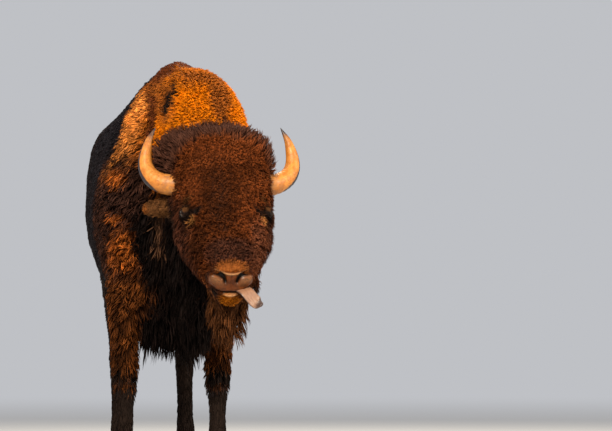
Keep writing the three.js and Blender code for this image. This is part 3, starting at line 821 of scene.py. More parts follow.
# Each piece has its slot, the number of rings in a lock, and spots on it, in the head's frame ("h") or the
# body's ("b"). A root belongs to the piece of the nearest spot.
COATS = {
    "coat_crown": (
        "wool", 3,
        [("h", 0, 0.05, -0.21), ("h", -0.15, -0.03, -0.19), ("h", 0.15, -0.03, -0.19), ("h", 0, -0.1, -0.2)],
    ),
    "coat_puff": ("wool", 3, [("b", -0.10, -0.52, 1.30)]),
    "coat_forehead": ("wool", 4, [("h", 0, 0.14, -0.06), ("h", 0, 0.14, 0.06)]),
    "coat_face": ("wool", 4, [("h", 0, 0.11, 0.20), ("h", 0, 0.09, 0.31)]),
    "coat_muzzle": ("wool", 3, [("h", 0, 0.05, 0.43), ("h", 0, -0.04, 0.48), ("h", 0, -0.12, 0.5)]),
    **both("coat_cheek", 3, "wool", ("h", 0.19, -0.05, 0), ("h", 0.17, 0, 0.18), ("h", 0.19, -0.16, 0.12)),
    **both("coat_jaw", 3, "wool", ("h", 0.12, 0, 0.34), ("h", 0.13, -0.16, 0.30), ("h", 0.08, -0.15, 0.42)),
    "coat_beard": ("wool", 4, [("b", 0.128, -0.74, z) for z in (0.80, 0.70, 0.60)]),
    "coat_neck": ("cape", 3, [("b", 0.0, -0.36, 1.58), ("b", 0.08, -0.42, 1.46)]),
    "coat_neck_side": ("cape", 3, [("b", 0.25, -0.36, 1.3), ("b", 0.2, -0.36, 1.55)]),
    "coat_hump": ("cape", 3, [("b", 0, 0, 1.70), ("b", 0.15, 0.05, 1.5), ("b", -0.15, 0.05, 1.5)]),
    **both("coat_shoulder", 4, "cape", ("b", 0.3, -0.1, 1.30), ("b", 0.3, 0.1, 1.15)),
    **both("coat_elbow", 4, "cape", ("b", 0.3, -0.15, 0.98), ("b", 0.3, 0.05, 0.80)),
    "coat_chest": ("cape", 4, [("b", 0.02, -0.46, 1.0), ("b", 0.02, -0.46, 0.7), ("b", 0, 0, 0.58)]),
    "coat_foreleg_left": ("dark_hair", 4, [("b", 0.163, 0, z) for z in (0.66, 0.5, 0.2)]),
    "coat_foreleg_right": ("dark_hair", 4, [("b", -0.228, -0.12, z) for z in (0.66, 0.5, 0.2)]),
    **both("coat_barrel", 3, "flank", ("b", 0.3, 0.55, 1.2), ("b", 0.2, 0.55, 0.8), ("b", 0.15, 0.5, 1.5)),
    **both("coat_rump", 3, "flank", ("b", 0.2, 1.2, 1.2), ("b", 0.15, 1.2, 0.9), ("b", 0.15, 1.0, 1.4)),
    **both("coat_hind_leg", 3, "dark_hair", ("b", 0.148, 1.3, 0.5), ("b", 0.148, 1.25, 0.2)),
    "coat_tail": ("dark_hair", 4, [("b", 0, 1.53, 1.1), ("b", 0.01, 1.56, 0.85), ("b", 0.012, 1.56, 0.7)]),
    "coat_ear_left": ("wool", 3, [("h", 0.19, -0.16, 0.026), ("h", 0.218, -0.216, 0.01)]),
    "coat_ear_right": ("wool", 3, [("h", -0.22, -0.11, 0.033), ("h", -0.29, -0.12, 0.026)]),
}


PATH_CELL = 0.015
LOCKS_IN_CLUMP, LOCKS_IN_TUFT = 7, 24
ROOT_UNDER = 0.002  # how far under the skin a lock starts
ROOT_SEED, SHAPE_SEED, CHANCE_SEED = 5, 6, 7
LEAST_HEIGHT = 0.001  # no lock comes nearer to the floor


def scattered(obj, density_at, seed):
    """Roots spread evenly over obj: their places, the skin's normals there, and their places on its map."""
    mesh = obj.data
    mesh.calc_loop_triangles()
    corner = numbers(mesh.loop_triangles, "vertices", 3, np.int32)
    loop = numbers(mesh.loop_triangles, "loops", 3, np.int32)
    places, normals = points_of(obj), normals_of(obj)
    flat = numbers(mesh.uv_layers["OFBake"].uv, "vector", 2)
    a, b, c = (places[corner[:, k]] for k in range(3))
    size = np.linalg.norm(np.cross(b - a, c - a), axis=1) / 2
    centre = (a + b + c) / 3
    # the triangles are put in the order of a winding path through small cells, so that even steps along it
    # are spread evenly
    cell = ((centre - centre.min(0)) / PATH_CELL).astype(np.int64)
    path = sum(((cell[:, k] >> bit) & 1) << (3 * bit + k) for bit in range(9) for k in range(3))
    order = np.argsort(path, kind="stable")
    run = np.cumsum((size * density_at(centre))[order])
    rng = np.random.default_rng(seed)
    at = np.arange(int(run[-1])) + rng.random(int(run[-1]))
    chosen = order[np.searchsorted(run, at).clip(0, len(order) - 1)]
    u, v = rng.random((2, len(chosen)))
    over = u + v > 1
    u, v = np.where(over, 1 - u, u), np.where(over, 1 - v, v)
    share = np.column_stack((1 - u - v, u, v))[:, :, None]
    return (
        (places[corner[chosen]] * share).sum(1),
        unit((normals[corner[chosen]] * share).sum(1)),
        (flat[loop[chosen]] * share).sum(1),
    )


def tree_of(centres):
    tree = kdtree.KDTree(len(centres))
    for n, centre in enumerate(centres):
        tree.insert(centre, n)
    tree.balance()
    return tree


def nearest(points, centres):
    """For each point the number of the nearest centre."""
    tree = tree_of(centres)
    return np.array([tree.find(point)[1] for point in points])


def turned(vectors, axes, angles):
    """Vectors turned about unit axes at right angles to them."""
    return vectors * np.cos(angles)[:, None] + np.cross(axes, vectors) * np.sin(angles)[:, None]


def tufted(root, many):
    """1 in the middle of a tuft and 0 where it meets the next. Each has about as many locks as asked for."""
    held = root * (1, 1, 0.6)  # a tuft is longer than it is wide
    tree = tree_of(held[::many])
    near = np.array([[found[2] for found in tree.find_n(point, 2)] for point in held])
    return (near[:, 1] - near[:, 0]) / np.maximum(near[:, 1] + near[:, 0], 1e-6)


def lock_shapes(root, normal, coat, rings, seed):
    """The sections of the locks, as an array of locks x rings x points round x 3, and the locks' tips."""
    count = len(root)
    rng = np.random.default_rng(seed)
    centres = np.arange(0, count, LOCKS_IN_CLUMP)
    own = nearest(root, root[centres])
    shared = rng.normal(size=(len(centres), 4))[own]
    single = rng.normal(size=(count, 4))
    mixed = 0.75 * shared + 0.5 * single
    length = coat["length"] * np.exp(0.16 * mixed[:, 0].clip(-2, 2))
    ahead = coat["lie"] - normal * (coat["lie"] * normal).sum(1)[:, None]
    ahead = turned(unit(ahead), normal, coat["wild"] * 1.3 * mixed[:, 1])
    # how steeply a lock rises, so that its tip comes out at the coat's depth; it levels out towards the tip
    rise = np.arcsin((coat["depth"] / length * 1.05).clip(0.02, 0.96)) / 0.68
    rise = (rise * (1 + 0.16 * mixed[:, 2] + 0.5 * coat["fan"] * np.abs(mixed[:, 3]))).clip(0.05, 1.5)
    side = np.cross(ahead, normal)
    t = np.linspace(0, 1, rings + 1)
    half_way = (t[1:] + t[:-1]) / 2
    lean = rise[:, None] * (1 - 0.62 * half_way)
    step = ahead[:, None] * np.cos(lean)[..., None] + normal[:, None] * np.sin(lean)[..., None]
    under = (coat["hang"] / 0.05 * ramp(0.1, 0.7, -normal[:, 2]))[:, None, None]
    step = (step + under * (np.array(DOWN) - step)) * (length[:, None, None] / rings)
    line = np.zeros((count, rings + 1, 3))
    line[:, 1:] = np.cumsum(step, axis=1)
    # the curl, shared by a clump
    turns = (0.9 + 0.35 * shared[:, 3]).clip(0.4, 1.8)
    phase = 2 * pi * rng.random(len(centres))[own] + 0.5 * single[:, 3]
    angle = phase[:, None] + 2 * pi * turns[:, None] * t
    reach = coat["curl"][:, None] * np.sqrt(t)
    line += (reach * np.cos(angle))[..., None] * side[:, None]
    line += (0.6 * reach * np.sin(angle))[..., None] * normal[:, None]
    # the clump draws its locks together
    line += (root[centres][own] - root)[:, None] * (coat["clump"][:, None] * t**1.3)[..., None]
    line += root[:, None] - normal[:, None] * ROOT_UNDER
    heading = unit(np.gradient(line, axis=1))
    across = unit(np.cross(normal[:, None], heading) + 1e-6)
    over = np.cross(heading, across)
    roll = (0.8 * single[:, 2])[:, None] + 0.5 * t
    across, over = (
        across * np.cos(roll)[..., None] + over * np.sin(roll)[..., None],
        over * np.cos(roll)[..., None] - across * np.sin(roll)[..., None],
    )
    wide = coat["width"] * np.exp(0.15 * single[:, 0].clip(-2, 2))
    swell = np.interp(t, (0, 0.3, 0.7, 1), (0.8, 1.0, 0.72, 0))
    round_ = 2 * pi * np.arange(3) / 3 - pi / 2
    # a flat three-sided section, about twice as wide as it is thick
    section = across[:, :rings, None] * 0.5 * np.cos(round_)[:, None]
    section = section + over[:, :rings, None] * 0.24 * np.sin(round_)[:, None]
    section = wide[:, None, None, None] * swell[None, :rings, None, None] * section
    return line[:, :rings, None] + section, line[:, rings]


def trimmed(section, tip, root, outline, loose):
    """The points of each lock. A lock whose tip would stand out of the outline farther than it may is
    shortened, and all are kept off the floor."""
    over = np.zeros(len(tip))
    for n, point in enumerate(tip):
        place, normal, _, _ = outline.find_nearest(point)
        over[n] = normal.dot(Vector(point) - place)
    reach = np.linalg.norm(tip - root, axis=1)
    keep = (1 - 1.15 * (over - loose) / reach).clip(0.3, 1)[:, None]
    root = root[:, None]
    points = np.append(section.reshape(len(tip), -1, 3), tip[:, None], axis=1)
    points = root + (points - root) * keep[..., None]
    points[..., 2] = np.maximum(points[..., 2], LEAST_HEIGHT)
    return points


def lock_faces(rings):
    """The faces of one lock, as point numbers, and where each corner lies on the lock's own small map."""
    faces, flat = [(0, 2, 1)], [(0.0, 0.0), (1.0, 0.0), (0.5, 0.06)]
    for ring in range(rings - 1):
        for k in range(3):
            low, high = ring / rings, (ring + 1) / rings
            after = (k + 1) % 3
            faces.append((3 * ring + k, 3 * ring + after, 3 * ring + 3 + after, 3 * ring + 3 + k))
            flat += [(k / 3, low), ((k + 1) / 3, low), ((k + 1) / 3, high), (k / 3, high)]
    top = 3 * (rings - 1)
    for k in range(3):
        faces.append((top + k, top + (k + 1) % 3, 3 * rings))
        flat += [(k / 3, 1 - 1 / rings), ((k + 1) / 3, 1 - 1 / rings), ((k + 0.5) / 3, 1)]
    return faces, np.array(flat)


def lock_mesh(name, points, rings, flat_root, **own):
    """One mesh of many locks, with its map. It notes on each point how far along its lock it lies, and the
    lock's own values."""
    count, each = points.shape[:2]
    faces, flat = lock_faces(rings)
    corners = np.concatenate([np.array(face) for face in faces])
    sizes = np.array([len(face) for face in faces])
    loops = (corners[None] + each * np.arange(count)[:, None]).ravel()
    starts = np.concatenate(([0], np.cumsum(np.tile(sizes, count))[:-1]))
    mesh = bpy.data.meshes.new(name)
    mesh.vertices.add(count * each)
    mesh.vertices.foreach_set("co", points.astype(np.float32).ravel())
    mesh.loops.add(len(loops))
    mesh.loops.foreach_set("vertex_index", loops.astype(np.int32))
    mesh.polygons.add(len(starts))
    mesh.polygons.foreach_set("loop_start", starts.astype(np.int32))
    mesh.update(calc_edges=True)
    spot = flat_root.clip(0.002, 0.998)[:, None] + (flat[None] - 0.5) * 0.003
    mesh.uv_layers.new(name="OFBake").uv.foreach_set("vector", spot.astype(np.float32).ravel())
    obj = bpy.data.objects.new(name, mesh)
    bpy.context.collection.objects.link(obj)
    along = np.append(np.repeat(np.arange(rings) / rings, 3), 1)
    attribute(obj, "along", np.tile(along, count))
    for key, values in own.items():
        kind = "FLOAT" if values.ndim == 1 else "FLOAT_VECTOR"
        attribute(obj, key, np.repeat(values, each, axis=0), kind)
    return obj


def hair_material():
    """Each lock has the markings' colour of its root, with painted shade near the skin and between tufts."""
    g = Graph("coat")
    root, lock, along, gap = g.own("root", "Vector"), g.own("lock"), g.own("along"), g.own("gap")
    colour = markings(g, root, ragged(g, root) + (lock - 0.5) * 0.12)
    # painted shade: a lock is darkest at its root and in the gaps between tufts; painted light brightens its
    # tip; the rest varies at random
    shade = along.ramp(0.0, 0.9, 0.36, 1.24) * (lock * 0.5 + 0.77) * (1.12 - 0.85 * gap)
    shade = shade * g.noise(24.0, 2.0, root).ramp(0.3, 0.7, 0.66, 1.30)
    shade = 0.85 + (shade - 0.85) * (1 - g.own("calm"))
    colour = g.tint(colour, g.grey(shade))
    warm = g.noise(5.0, 1.0, root).ramp(0.35, 0.65)
    colour = g.mix(warm, g.tint(colour, (0.97, 1.0, 1.04)), colour)
    return g.surface(base_color=colour, roughness=0.62, specular_ior_level=0.04)


class BISON_OT_coat(bpy.types.Operator):
    """Grows the coat from the skin, as solid locks that follow its lie"""

    bl_idname = "bison.coat"
    bl_label = "Coat"

    def execute(self, context):
        sizes = context.scene.bison_sizes
        part, wider = ((1.0, 1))
        amount = sizes.coat_density * part
        skin = bpy.data.objects["skin"]
        root, normal, flat = scattered(skin, lambda places: coat_at(places)["density"] * amount, ROOT_SEED)
        coat = coat_at(root)
        coat["length"] *= sizes.coat_length
        coat["width"] *= wider
        chance = np.random.default_rng(CHANCE_SEED).random(len(root))
        names = [name for name, (_, _, spots) in COATS.items() for _ in spots]
        places = {"h": head, "b": body}
        centres = [places[kind](*spot) for _, _, spots in COATS.values() for kind, *spot in spots]
        belongs = np.array(names)[nearest(root, centres)]
        gap = coat["tuft"].clip(0, 1) * (1 - ramp(0.0, 0.6, tufted(root, LOCKS_IN_TUFT)))
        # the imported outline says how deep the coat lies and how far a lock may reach
        whole = flesh_copy()
        outline = BVHTree.FromObject(whole, context.evaluated_depsgraph_get())
        bpy.data.objects.remove(whole)
        below = np.array([outline.find_nearest(point)[3] for point in root])
        coat["depth"] = np.maximum(below - coat["sink"], 0.5 * coat["depth"])
        coat["length"] = np.maximum(coat["length"] * (1 - 0.35 * gap), 1.1 * coat["depth"])
        material = hair_material()
        for name, (slot, rings, _) in COATS.items():
            mine = np.flatnonzero(belongs == name)
            one = {key: value[mine] for key, value in coat.items()}
            own = {"root": root[mine], "lock": chance[mine], "gap": gap[mine], "calm": one["calm"]}
            section, tip = lock_shapes(own["root"], normal[mine], one, rings, SHAPE_SEED)
            loose = 0.003 + (0.12 + 0.4 * one["fan"]) * own["lock"] * one["length"]
            loose += own["lock"] * one["hang"]
            points = trimmed(section, tip, own["root"], outline, loose)
            finished(lock_mesh(name, points, rings, flat[mine], **own), material, slot)
        return {"FINISHED"}


# ---- the skin ----
FLESH = [
    *("head", "lower_jaw", "nose", "neck", "shoulders", "barrel", "rump", "tail", "beard", "tail_tuft"),
    *(
        part + side
        for part in ("thigh_", "lower_hindleg_", "upper_foreleg_", "lower_foreleg_", "ear_")
        for side in SIDES
    ),
]
# Balls that fill the pits of horn, ear, eye and tongue: x, w and u in the head's frame, then the radius.
PLUGS = [
    *(
        (side * x, w, u, radius)
        for side in SIDES.values()
        for x, w, u, radius in (
            (0.135, -0.022, -0.008, 0.062),
            (0.13, -0.10, 0.037, 0.05),
            (0.15, 0.018, 0.178, 0.04),
        )
    ),
    (0.03, -0.07, 0.455, 0.035),
]
# the cells that the mesh is drawn through, for the outline and then for the skin let down inside it
OUTLINE_CELL, SKIN_CELL = 0.012, 0.0122
STEPS_DOWN = 6


def flesh_copy():
    """The flesh nodes as one even closed mesh with no gap between them, its pits filled."""
    deselect()
    made = []
    for name in FLESH:
        copy = bpy.data.objects.new("skin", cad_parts[name].data.copy())
        bpy.context.collection.objects.link(copy)
        made.append(copy)
    for x, w, u, radius in PLUGS:
        place = head(x, w, u)
        bpy.ops.mesh.primitive_uv_sphere_add(segments=24, ring_count=12, radius=radius, location=place)
        made.append(bpy.context.object)
    skin = joined("skin", made)
    edit(skin)
    bpy.ops.mesh.remove_doubles(threshold=SAME_POINT)
    bpy.ops.transform.shrink_fatten(value=0.0007)
    leave()
    bpy.ops.object.transform_apply()
    modify(skin, "REMESH", mode="VOXEL", voxel_size=OUTLINE_CELL)
    modify(skin, "SMOOTH", factor=0.5, iterations=4)
    return skin


def settle(skin):
    """Lets the skin down inside the coat's outline by the coat's depth, a little at a time."""
    coat = coat_at(points_of(skin))
    depth = coat["depth"] + coat["sink"]
    even = 0.35 * ramp(0.0, 0.02, depth)[:, None]
    ends = numbers(skin.data.edges, "vertices", 2, np.int32)
    number = len(skin.data.vertices)
    near = np.bincount(ends.ravel(), minlength=number)[:, None]
    for _ in range(STEPS_DOWN):
        places = points_of(skin) - normals_of(skin) * depth[:, None] / STEPS_DOWN
        around = np.zeros((number, 3))
        for k in range(3):
            around[:, k] = np.bincount(ends[:, 0], places[ends[:, 1], k], number)
            around[:, k] += np.bincount(ends[:, 1], places[ends[:, 0], k], number)
        set_points(skin, places + even * (around / near - places))


def refine(skin, chosen, cuts):
    """Divides the faces between the chosen points and smooths what it makes."""
    select_where(skin, chosen)
    bpy.ops.mesh.subdivide(number_cuts=cuts, smoothness=0)
    bpy.ops.mesh.vertices_smooth(factor=0.5, repeat=cuts + 1)
    leave()


def eye_frame(side):
    """The eye's own axes, in the head's frame: forwards along the face, up, and out through the pupil."""
    gaze = unit(np.array((side * 0.7, 0.6, 0.3)))
    along = unit(np.array((0, 0, 1)) - gaze * gaze[2])
    return np.array((along, np.cross(along, gaze) * side, gaze))


def shape_eyes(here, sizes):
    """Draws the skin round both eyeballs, with an almond opening, two lids and a fold round them. Gives
    back the points, and how bare each is."""
    bare = np.zeros(len(here))
    for side in SIDES.values():
        centre = EYE_AT * (side, 1, 1)
        off = here - centre
        far = np.linalg.norm(off, axis=1)
        aim = off / np.maximum(far, 1e-6)[:, None]
        a, b, c = (aim @ eye_frame(side).T).T
        b = b + 0.12 * a  # the opening slants
        upper, lower = 0.20, 0.28
        opening = (np.abs(a) / 0.60) ** 1.9 + (np.abs(b) / np.where(b > 0, upper, lower)) ** 1.7
        lid = sizes.eye_radius + sizes.lid_gap
        reach = lid + 0.0022 * mound(opening - 1.35, 0.45) - 0.002 * mound(opening - 2.9, 0.5)
        reach = reach - (0.009 + sizes.lid_gap) * ramp(1.12, 0.85, opening)
        hold = ramp(0.052, 0.031, far) * ramp(-0.35, 0.15, c)
        here = here + hold[:, None] * (centre + aim * reach[:, None] - here)
        bare = np.maximum(bare, ramp(1.9, 1.25, opening) * ramp(0.040, 0.030, far) * ramp(0, 0.2, c))
    return here, bare


# A point's height over the head's own middle is what its w and its u raise it by.
RISE_W, RISE_U = 0.629, -0.777
# The muzzle's lines for the left side, as across and height.
NOSTRIL = ((0.0790, -0.340), (0.057, -0.354), (0.041, -0.365), (0.029, -0.377), (0.023, -0.391))
NOSE_RIM = ((0.083, -0.331), (0.066, -0.340), (0.045, -0.350), (0.024, -0.358), (0.0, -0.361))


def shape_muzzle(here, normal, sizes):
    """Cuts nostrils, mouth and furrow into the muzzle and raises its rim, wings and lips. Gives back the
    points, and where they are dark (painted shade in nostrils and mouth), pale (painted highlights on rim
    and lower lip, paler wings), wet or on a wing."""
    across, w, u = here.T
    height = RISE_W * w + RISE_U * u
    flat = np.column_stack((np.abs(across), height))
    front = ramp(0.405, 0.435, u) * ramp(-0.25, 0.1, normal @ (0, 0.4, 0.9)) * ramp(-0.075, -0.055, w)
    slit = from_line(flat, *NOSTRIL)
    nostril = mound(slit, 0.0062 + 0.0050 * mound(height + 0.356, 0.018)) * front
    rim = mound(from_line(flat, *NOSE_RIM), 0.0040) * front
    lean = (flat - (0.056, -0.381)) @ np.array(((0.79, 0.61), (-0.61, 0.79))).T
    wing = mound(np.linalg.norm(lean / (0.028, 0.0150), axis=1), 1) * front
    furrow = mound(from_line(flat, (0, -0.352), (0, -0.425)), 0.003) * front
    mouth_line = -0.0575 - 0.012 * ramp(0.43, 0.36, u)
    ahead = ramp(0.34, 0.37, u)
    mouth = mound(w - mouth_line, 0.0042) * ahead
    upper_lip = mound(w - mouth_line - 0.013, 0.008) * ahead
    lower_lip = mound(w - mouth_line + 0.013, 0.0075) * ahead * ramp(0.42, 0.47, u)
    chin = mound(np.linalg.norm((here - (0, -0.115, 0.52)) / (0.040, 0.030, 0.03), axis=1), 1)
    corner = (flat - (0.0855, -0.386)) @ (0.631, -0.775)
    pinch = ramp(-0.004, 0.018, corner) * ramp(0.43, 0.48, u)
    push = (
        -sizes.nostril_depth * nostril + 0.0035 * rim + 0.005 * wing - 0.0022 * furrow
        - 0.009 * mouth + 0.003 * upper_lip + 0.0045 * lower_lip + 0.005 * chin - 0.014 * pinch
    )
    moved = here + normal * push[:, None]
    # the wings stand out to the sides
    wide = ramp(0.040, 0.070, flat[:, 0]) * ramp(0.40, 0.44, u) * mound(height + 0.366, 0.045)
    moved[:, 0] += np.sign(across) * 0.009 * wide
    # pale holds painted highlights on the nose's rim and the lower lip, and the nose's paler wings
    lip = lower_lip * ramp(0.034, 0.020, flat[:, 0])
    pale = np.maximum(0.6 * rim, np.maximum(0.21 * wing * (1 - nostril), lip))
    over_rim = height + 0.361 - 4.4 * across**2
    wet = front * ramp(0.012, 0.0, over_rim) * ramp(0.100, 0.088, flat[:, 0]) * ramp(0.010, 0.0, corner)
    return moved, np.maximum(nostril, mouth), pale, np.maximum(wet, lower_lip), wing


def skin_material():
    """The coat's markings, darkened with painted shade under the locks, with a bare nose, mouth and rims of
    the eyes.
    """
    g = Graph("skin")
    colour = markings(g, g.place, ragged(g, g.place))
    dark, pale, wet, wing, bare = (g.own(name) for name in ("dark", "pale", "wet", "wing", "bare"))
    streak = g.noise(1.0, 3.0, g.stretch((150, 150, 24), turned=(0.62, 0, 0)))
    # painted shade: the skin is darker where the coat covers it
    under = streak.ramp(0.3, 0.7, 0.42, 1.15) * (1 - 0.6 * g.own("covered"))
    colour = g.tint(colour, g.grey(under))
    speckle = g.noise(210.0, 2.0)
    brown = g.tone("nose_brown")
    nose = g.mix(g.noise(55.0, 3.0).ramp(0.35, 0.65), g.tint(brown, (0.45, 0.42, 0.42)), brown)
    # the nose's rim and lower lip take painted highlights; its wings are paler
    nose = g.mix(pale, nose, g.tone("nose_pale_highlight"))
    nose = g.mix(wing * speckle.ramp(0.48, 0.60) * 0.8, nose, (0.055, 0.024, 0.014))
    moist = g.top(wet, pale)
    colour = g.mix(moist, colour, nose)
    colour = g.mix(bare, colour, g.tone("lid_dark"))
    # painted shade: near-black in the nostrils and the gap of the mouth
    colour = g.mix(dark.ramp(0.15, 0.7), colour, (0.004, 0.0025, 0.002))
    cells = {"Vector": g.place, "Scale": 330.0}
    pebble = g.node("ShaderNodeTexVoronoi", {"feature": "DISTANCE_TO_EDGE"}, cells)
    hairs = g.bump(streak, 0.0016, 0.7)
    return g.surface(
        base_color=colour,
        roughness=0.68 - 0.30 * moist,
        specular_ior_level=0.04,
        coat_weight=0.30 * g.top(moist, bare * 0.4),
        coat_roughness=0.32,
        normal=g.bump(pebble.ramp(0.0, 0.16) * moist, 0.0007, 0.6, hairs),
    )


class BISON_OT_skin(bpy.types.Operator):
    """Makes the one skin that covers head, ears, trunk, legs and tail"""

    bl_idname = "bison.skin"
    bl_label = "Skin"

    def execute(self, context):
        sizes = context.scene.bison_sizes
        skin = flesh_copy()
        settle(skin)
        modify(skin, "REMESH", mode="VOXEL", voxel_size=SKIN_CELL)
        modify(skin, "SMOOTH", factor=0.5, iterations=2)
        # finer points round the eyes, as far as "wide", and on the muzzle, from "start" on
        for wide, start, cuts in ((0.058, 0.33, 2), (0.040, 0.44, 1)):
            across, w, u = seen_from(points_of(skin), "head_pair").T
            eye = np.linalg.norm(np.column_stack((across, w, u)) - EYE_AT, axis=1) < wide
            muzzle = (u > start) & (across < 0.13) & (np.abs(w + 0.03) < 0.13)
            refine(skin, eye | muzzle, cuts)
        here = in_head(points_of(skin))
        here, bare = shape_eyes(here, sizes)
        here, dark, pale, wet, wing = shape_muzzle(here, normals_of(skin) @ HEAD_AXES.T, sizes)
        set_points(skin, HEAD + here @ HEAD_AXES)
        coat = coat_at(points_of(skin))
        # how thickly the coat covers the skin, which sets the painted shade on it
        covered = ramp(0, 6000, coat["density"]) * ramp(0.002, 0.014, coat["depth"])
        notes = {"bare": bare, "dark": dark, "pale": pale, "wet": wet, "wing": wing, "covered": covered}
        for name, values in notes.items():
            attribute(skin, name, values)
        edit(skin)
        bpy.ops.uv.smart_project(angle_limit=1.15, island_margin=0.002)
        leave()
        skin.data.uv_layers[0].name = "OFBake"
        finished(skin, skin_material(), "wool", *FLESH)
        return {"FINISHED"}


# ---- horns, eyes, tongue, hooves ----
def horn_line(side):
    """The places along a horn, from its base to its point. The left one dips a little more."""
    lift = 0.024 if side > 0 else 0.018
    return [
        head(side * x, w, u)
        for x, w, u in (
            (0.150, -0.022, -0.008),
            (0.203, -0.022, -0.009 - 0.2 * lift),
            (0.243, -0.028, -0.013 - 0.9 * lift),
            (0.273, -0.032, -0.040 - lift),
            (0.292, -0.030, -0.082 - 0.8 * lift),
            (0.297, -0.018, -0.124 - 0.5 * lift),
            (0.292, 0, -0.168),
            (0.279, 0.020, -0.212),
            (0.251, 0.046, -0.258),
        )
    ]


def horn_material():
    g = Graph("horn")
    along, round_, outer = g.own("along"), g.own("round"), g.own("outer")
    grain = g.noise(1.0, 3.0, g.pack(along * 9, round_ * 40, 0))
    patch = g.noise(38.0, 3.0)
    pale = g.mix(patch.ramp(0.4, 0.62), g.tone("horn_pale"), (0.33, 0.108, 0.014))
    pale = g.mix(grain.ramp(0.5, 0.72) * 0.5, pale, (0.54, 0.24, 0.060))
    fleck = g.noise(150.0, 3.0).ramp(0.57, 0.68) * along.ramp(1.0, 0.2)
    pale = g.mix(fleck * 0.75, pale, (0.19, 0.070, 0.016))
    base = along.ramp(0.26, 0.16) * g.noise(60.0, 3.0).ramp(0.38, 0.6)
    pale = g.mix(base * 0.55, pale, (0.20, 0.10, 0.045))
    edge = (outer + (g.noise(16.0, 2.0) - 0.5) * 0.12).ramp(0.35, 0.75) * along.ramp(0.10, 0.28)
    point = (along + (patch - 0.5) * 0.2).ramp(0.74, 0.97)
    colour = g.mix(g.top(edge, point), pale, g.tone("horn_dark"))
    fine = g.bump(grain, 0.0007, 0.6)
    return g.surface(
        base_color=colour,
        roughness=g.noise(70.0, 2.0).ramp(0.3, 0.7, 0.38, 0.60),
        specular_ior_level=0.35,
        normal=g.bump(g.noise(160.0, 2.0), 0.0006, 0.5, fine),
    )


class BISON_OT_horns(bpy.types.Operator):
    """Makes the two horns, ringed at the base and smooth at the point"""

    bl_idname = "bison.horns"
    bl_label = "Horns"

    def execute(self, context):
        sizes, count = context.scene.bison_sizes, 40
        material = horn_material()

        def girth(t):
            radius = max(0.0016, sizes.horn_radius * (1 - 0.28 * t - 0.70 * t**2.6)) - 0.0004
            ring = sin(2 * pi * sizes.horn_rings * (t - 0.1) / 0.36) if 0.1 < t < 0.46 else 0
            radius += 0.0009 * ring * (1 - t)
            return radius, 0.94 * radius

        for word, side in SIDES.items():
            line = smooth_line(horn_line(side), 80)
            obj = sweep("horn_shown_" + word, line, HEAD_AXES[1], girth, count)
            close_ends(obj, count)
            along_and_round(obj, count)
            outward = unit(np.array((side * 0.9, -0.4, 0.1))) @ HEAD_AXES
            away = points_of(obj) - line[ring_of(obj, count).clip(0, len(line) - 1)]
            attribute(obj, "outer", ramp(0.45, 0.75, unit(away) @ outward))
            finished(obj, material, "horn", "horn_" + word)
        return {"FINISHED"}


CORNEA = 0.0012  # how far the cornea stands out of the eyeball


def eye_material(side):
    g = Graph("eye")
    along, up, out = eye_frame(side) @ HEAD_AXES
    centre = head(side * EYE_AT[0], *EYE_AT[1:])
    off = g.vector("SUBTRACT", g.place, centre)
    a, b = (g.dot(off, axis) / bpy.context.scene.bison_sizes.eye_radius for axis in (along, up))
    iris = (a * a + b * b) ** 0.5
    pupil = ((a / 0.34) ** 2.0 + (b / 0.15) ** 2.0) ** 0.5
    spokes = g.noise(1.0, 3.0, g.pack(a * 18, b * 18, iris * 3))
    colour = g.mix(spokes.ramp(0.35, 0.65), g.tone("eye_brown"), (0.034, 0.014, 0.005))
    colour = g.mix(iris.ramp(0.56, 0.66), colour, (0.006, 0.005, 0.006))
    colour = g.mix(iris.ramp(0.74, 0.9), colour, (0.030, 0.016, 0.013))
    colour = g.mix(pupil.ramp(1.1, 0.9), colour, (0.001, 0.001, 0.0015))
    gloss = {"roughness": 0.08, "specular_ior_level": 0.12, "coat_weight": 0.10, "coat_roughness": 0.02}
    return g.surface(base_color=colour, **gloss)


class BISON_OT_eyes(bpy.types.Operator):
    """Makes the two eyes, each with iris, level pupil and clear cornea"""

    bl_idname = "bison.eyes"
    bl_label = "Eyes"

    def execute(self, context):
        radius = context.scene.bison_sizes.eye_radius
        for word, side in SIDES.items():
            deselect()
            bpy.ops.mesh.primitive_uv_sphere_add(segments=40, ring_count=24, radius=radius)
            eye = named("eye_shown_" + word)
            points = points_of(eye)
            off = np.linalg.norm(points[:, :2], axis=1) / radius
            points[:, 2] += np.where(points[:, 2] > 0, CORNEA * ramp(0.62, 0.40, off), 0)
            points *= radius / (radius + CORNEA)
            along, up, out = eye_frame(side) @ HEAD_AXES
            centre = head(side * EYE_AT[0], *EYE_AT[1:])
            set_points(eye, centre + points @ np.array((along, np.cross(out, along), out)))
            finished(eye, eye_material(side), "eye", "eye_" + word)
        return {"FINISHED"}


# half the tongue's width, at its root and on the whole
TONGUE_HALF, TONGUE_HALF_EVEN = 0.0331, 0.033


def tongue_material():
    g = Graph("tongue")
    along, edge, round_ = g.own("along"), g.own("edge"), g.own("round")
    streak = g.noise(1.0, 3.0, g.pack(along * 5, round_ * 60, 0))
    colour = g.mix(streak.ramp(0.38, 0.64), (0.215, 0.110, 0.062), g.tone("tongue_pink"))
    colour = g.mix(g.noise(90.0, 3.0).ramp(0.5, 0.7) * 0.6, colour, (0.130, 0.056, 0.034))
    rim = g.top(edge.ramp(0.76, 0.98), (along + (streak - 0.5) * 0.10).ramp(0.79, 0.90))
    colour = g.mix(rim * 0.9, colour, g.tone("tongue_dark"))
    buds = g.noise(700.0, 2.0)
    return g.surface(
        base_color=colour,
        roughness=streak.ramp(0.3, 0.7, 0.42, 0.58),
        normal=g.bump(buds, 0.0005, 0.7, g.bump(streak, 0.0008, 0.5)),
        coat_weight=0.08,
    )


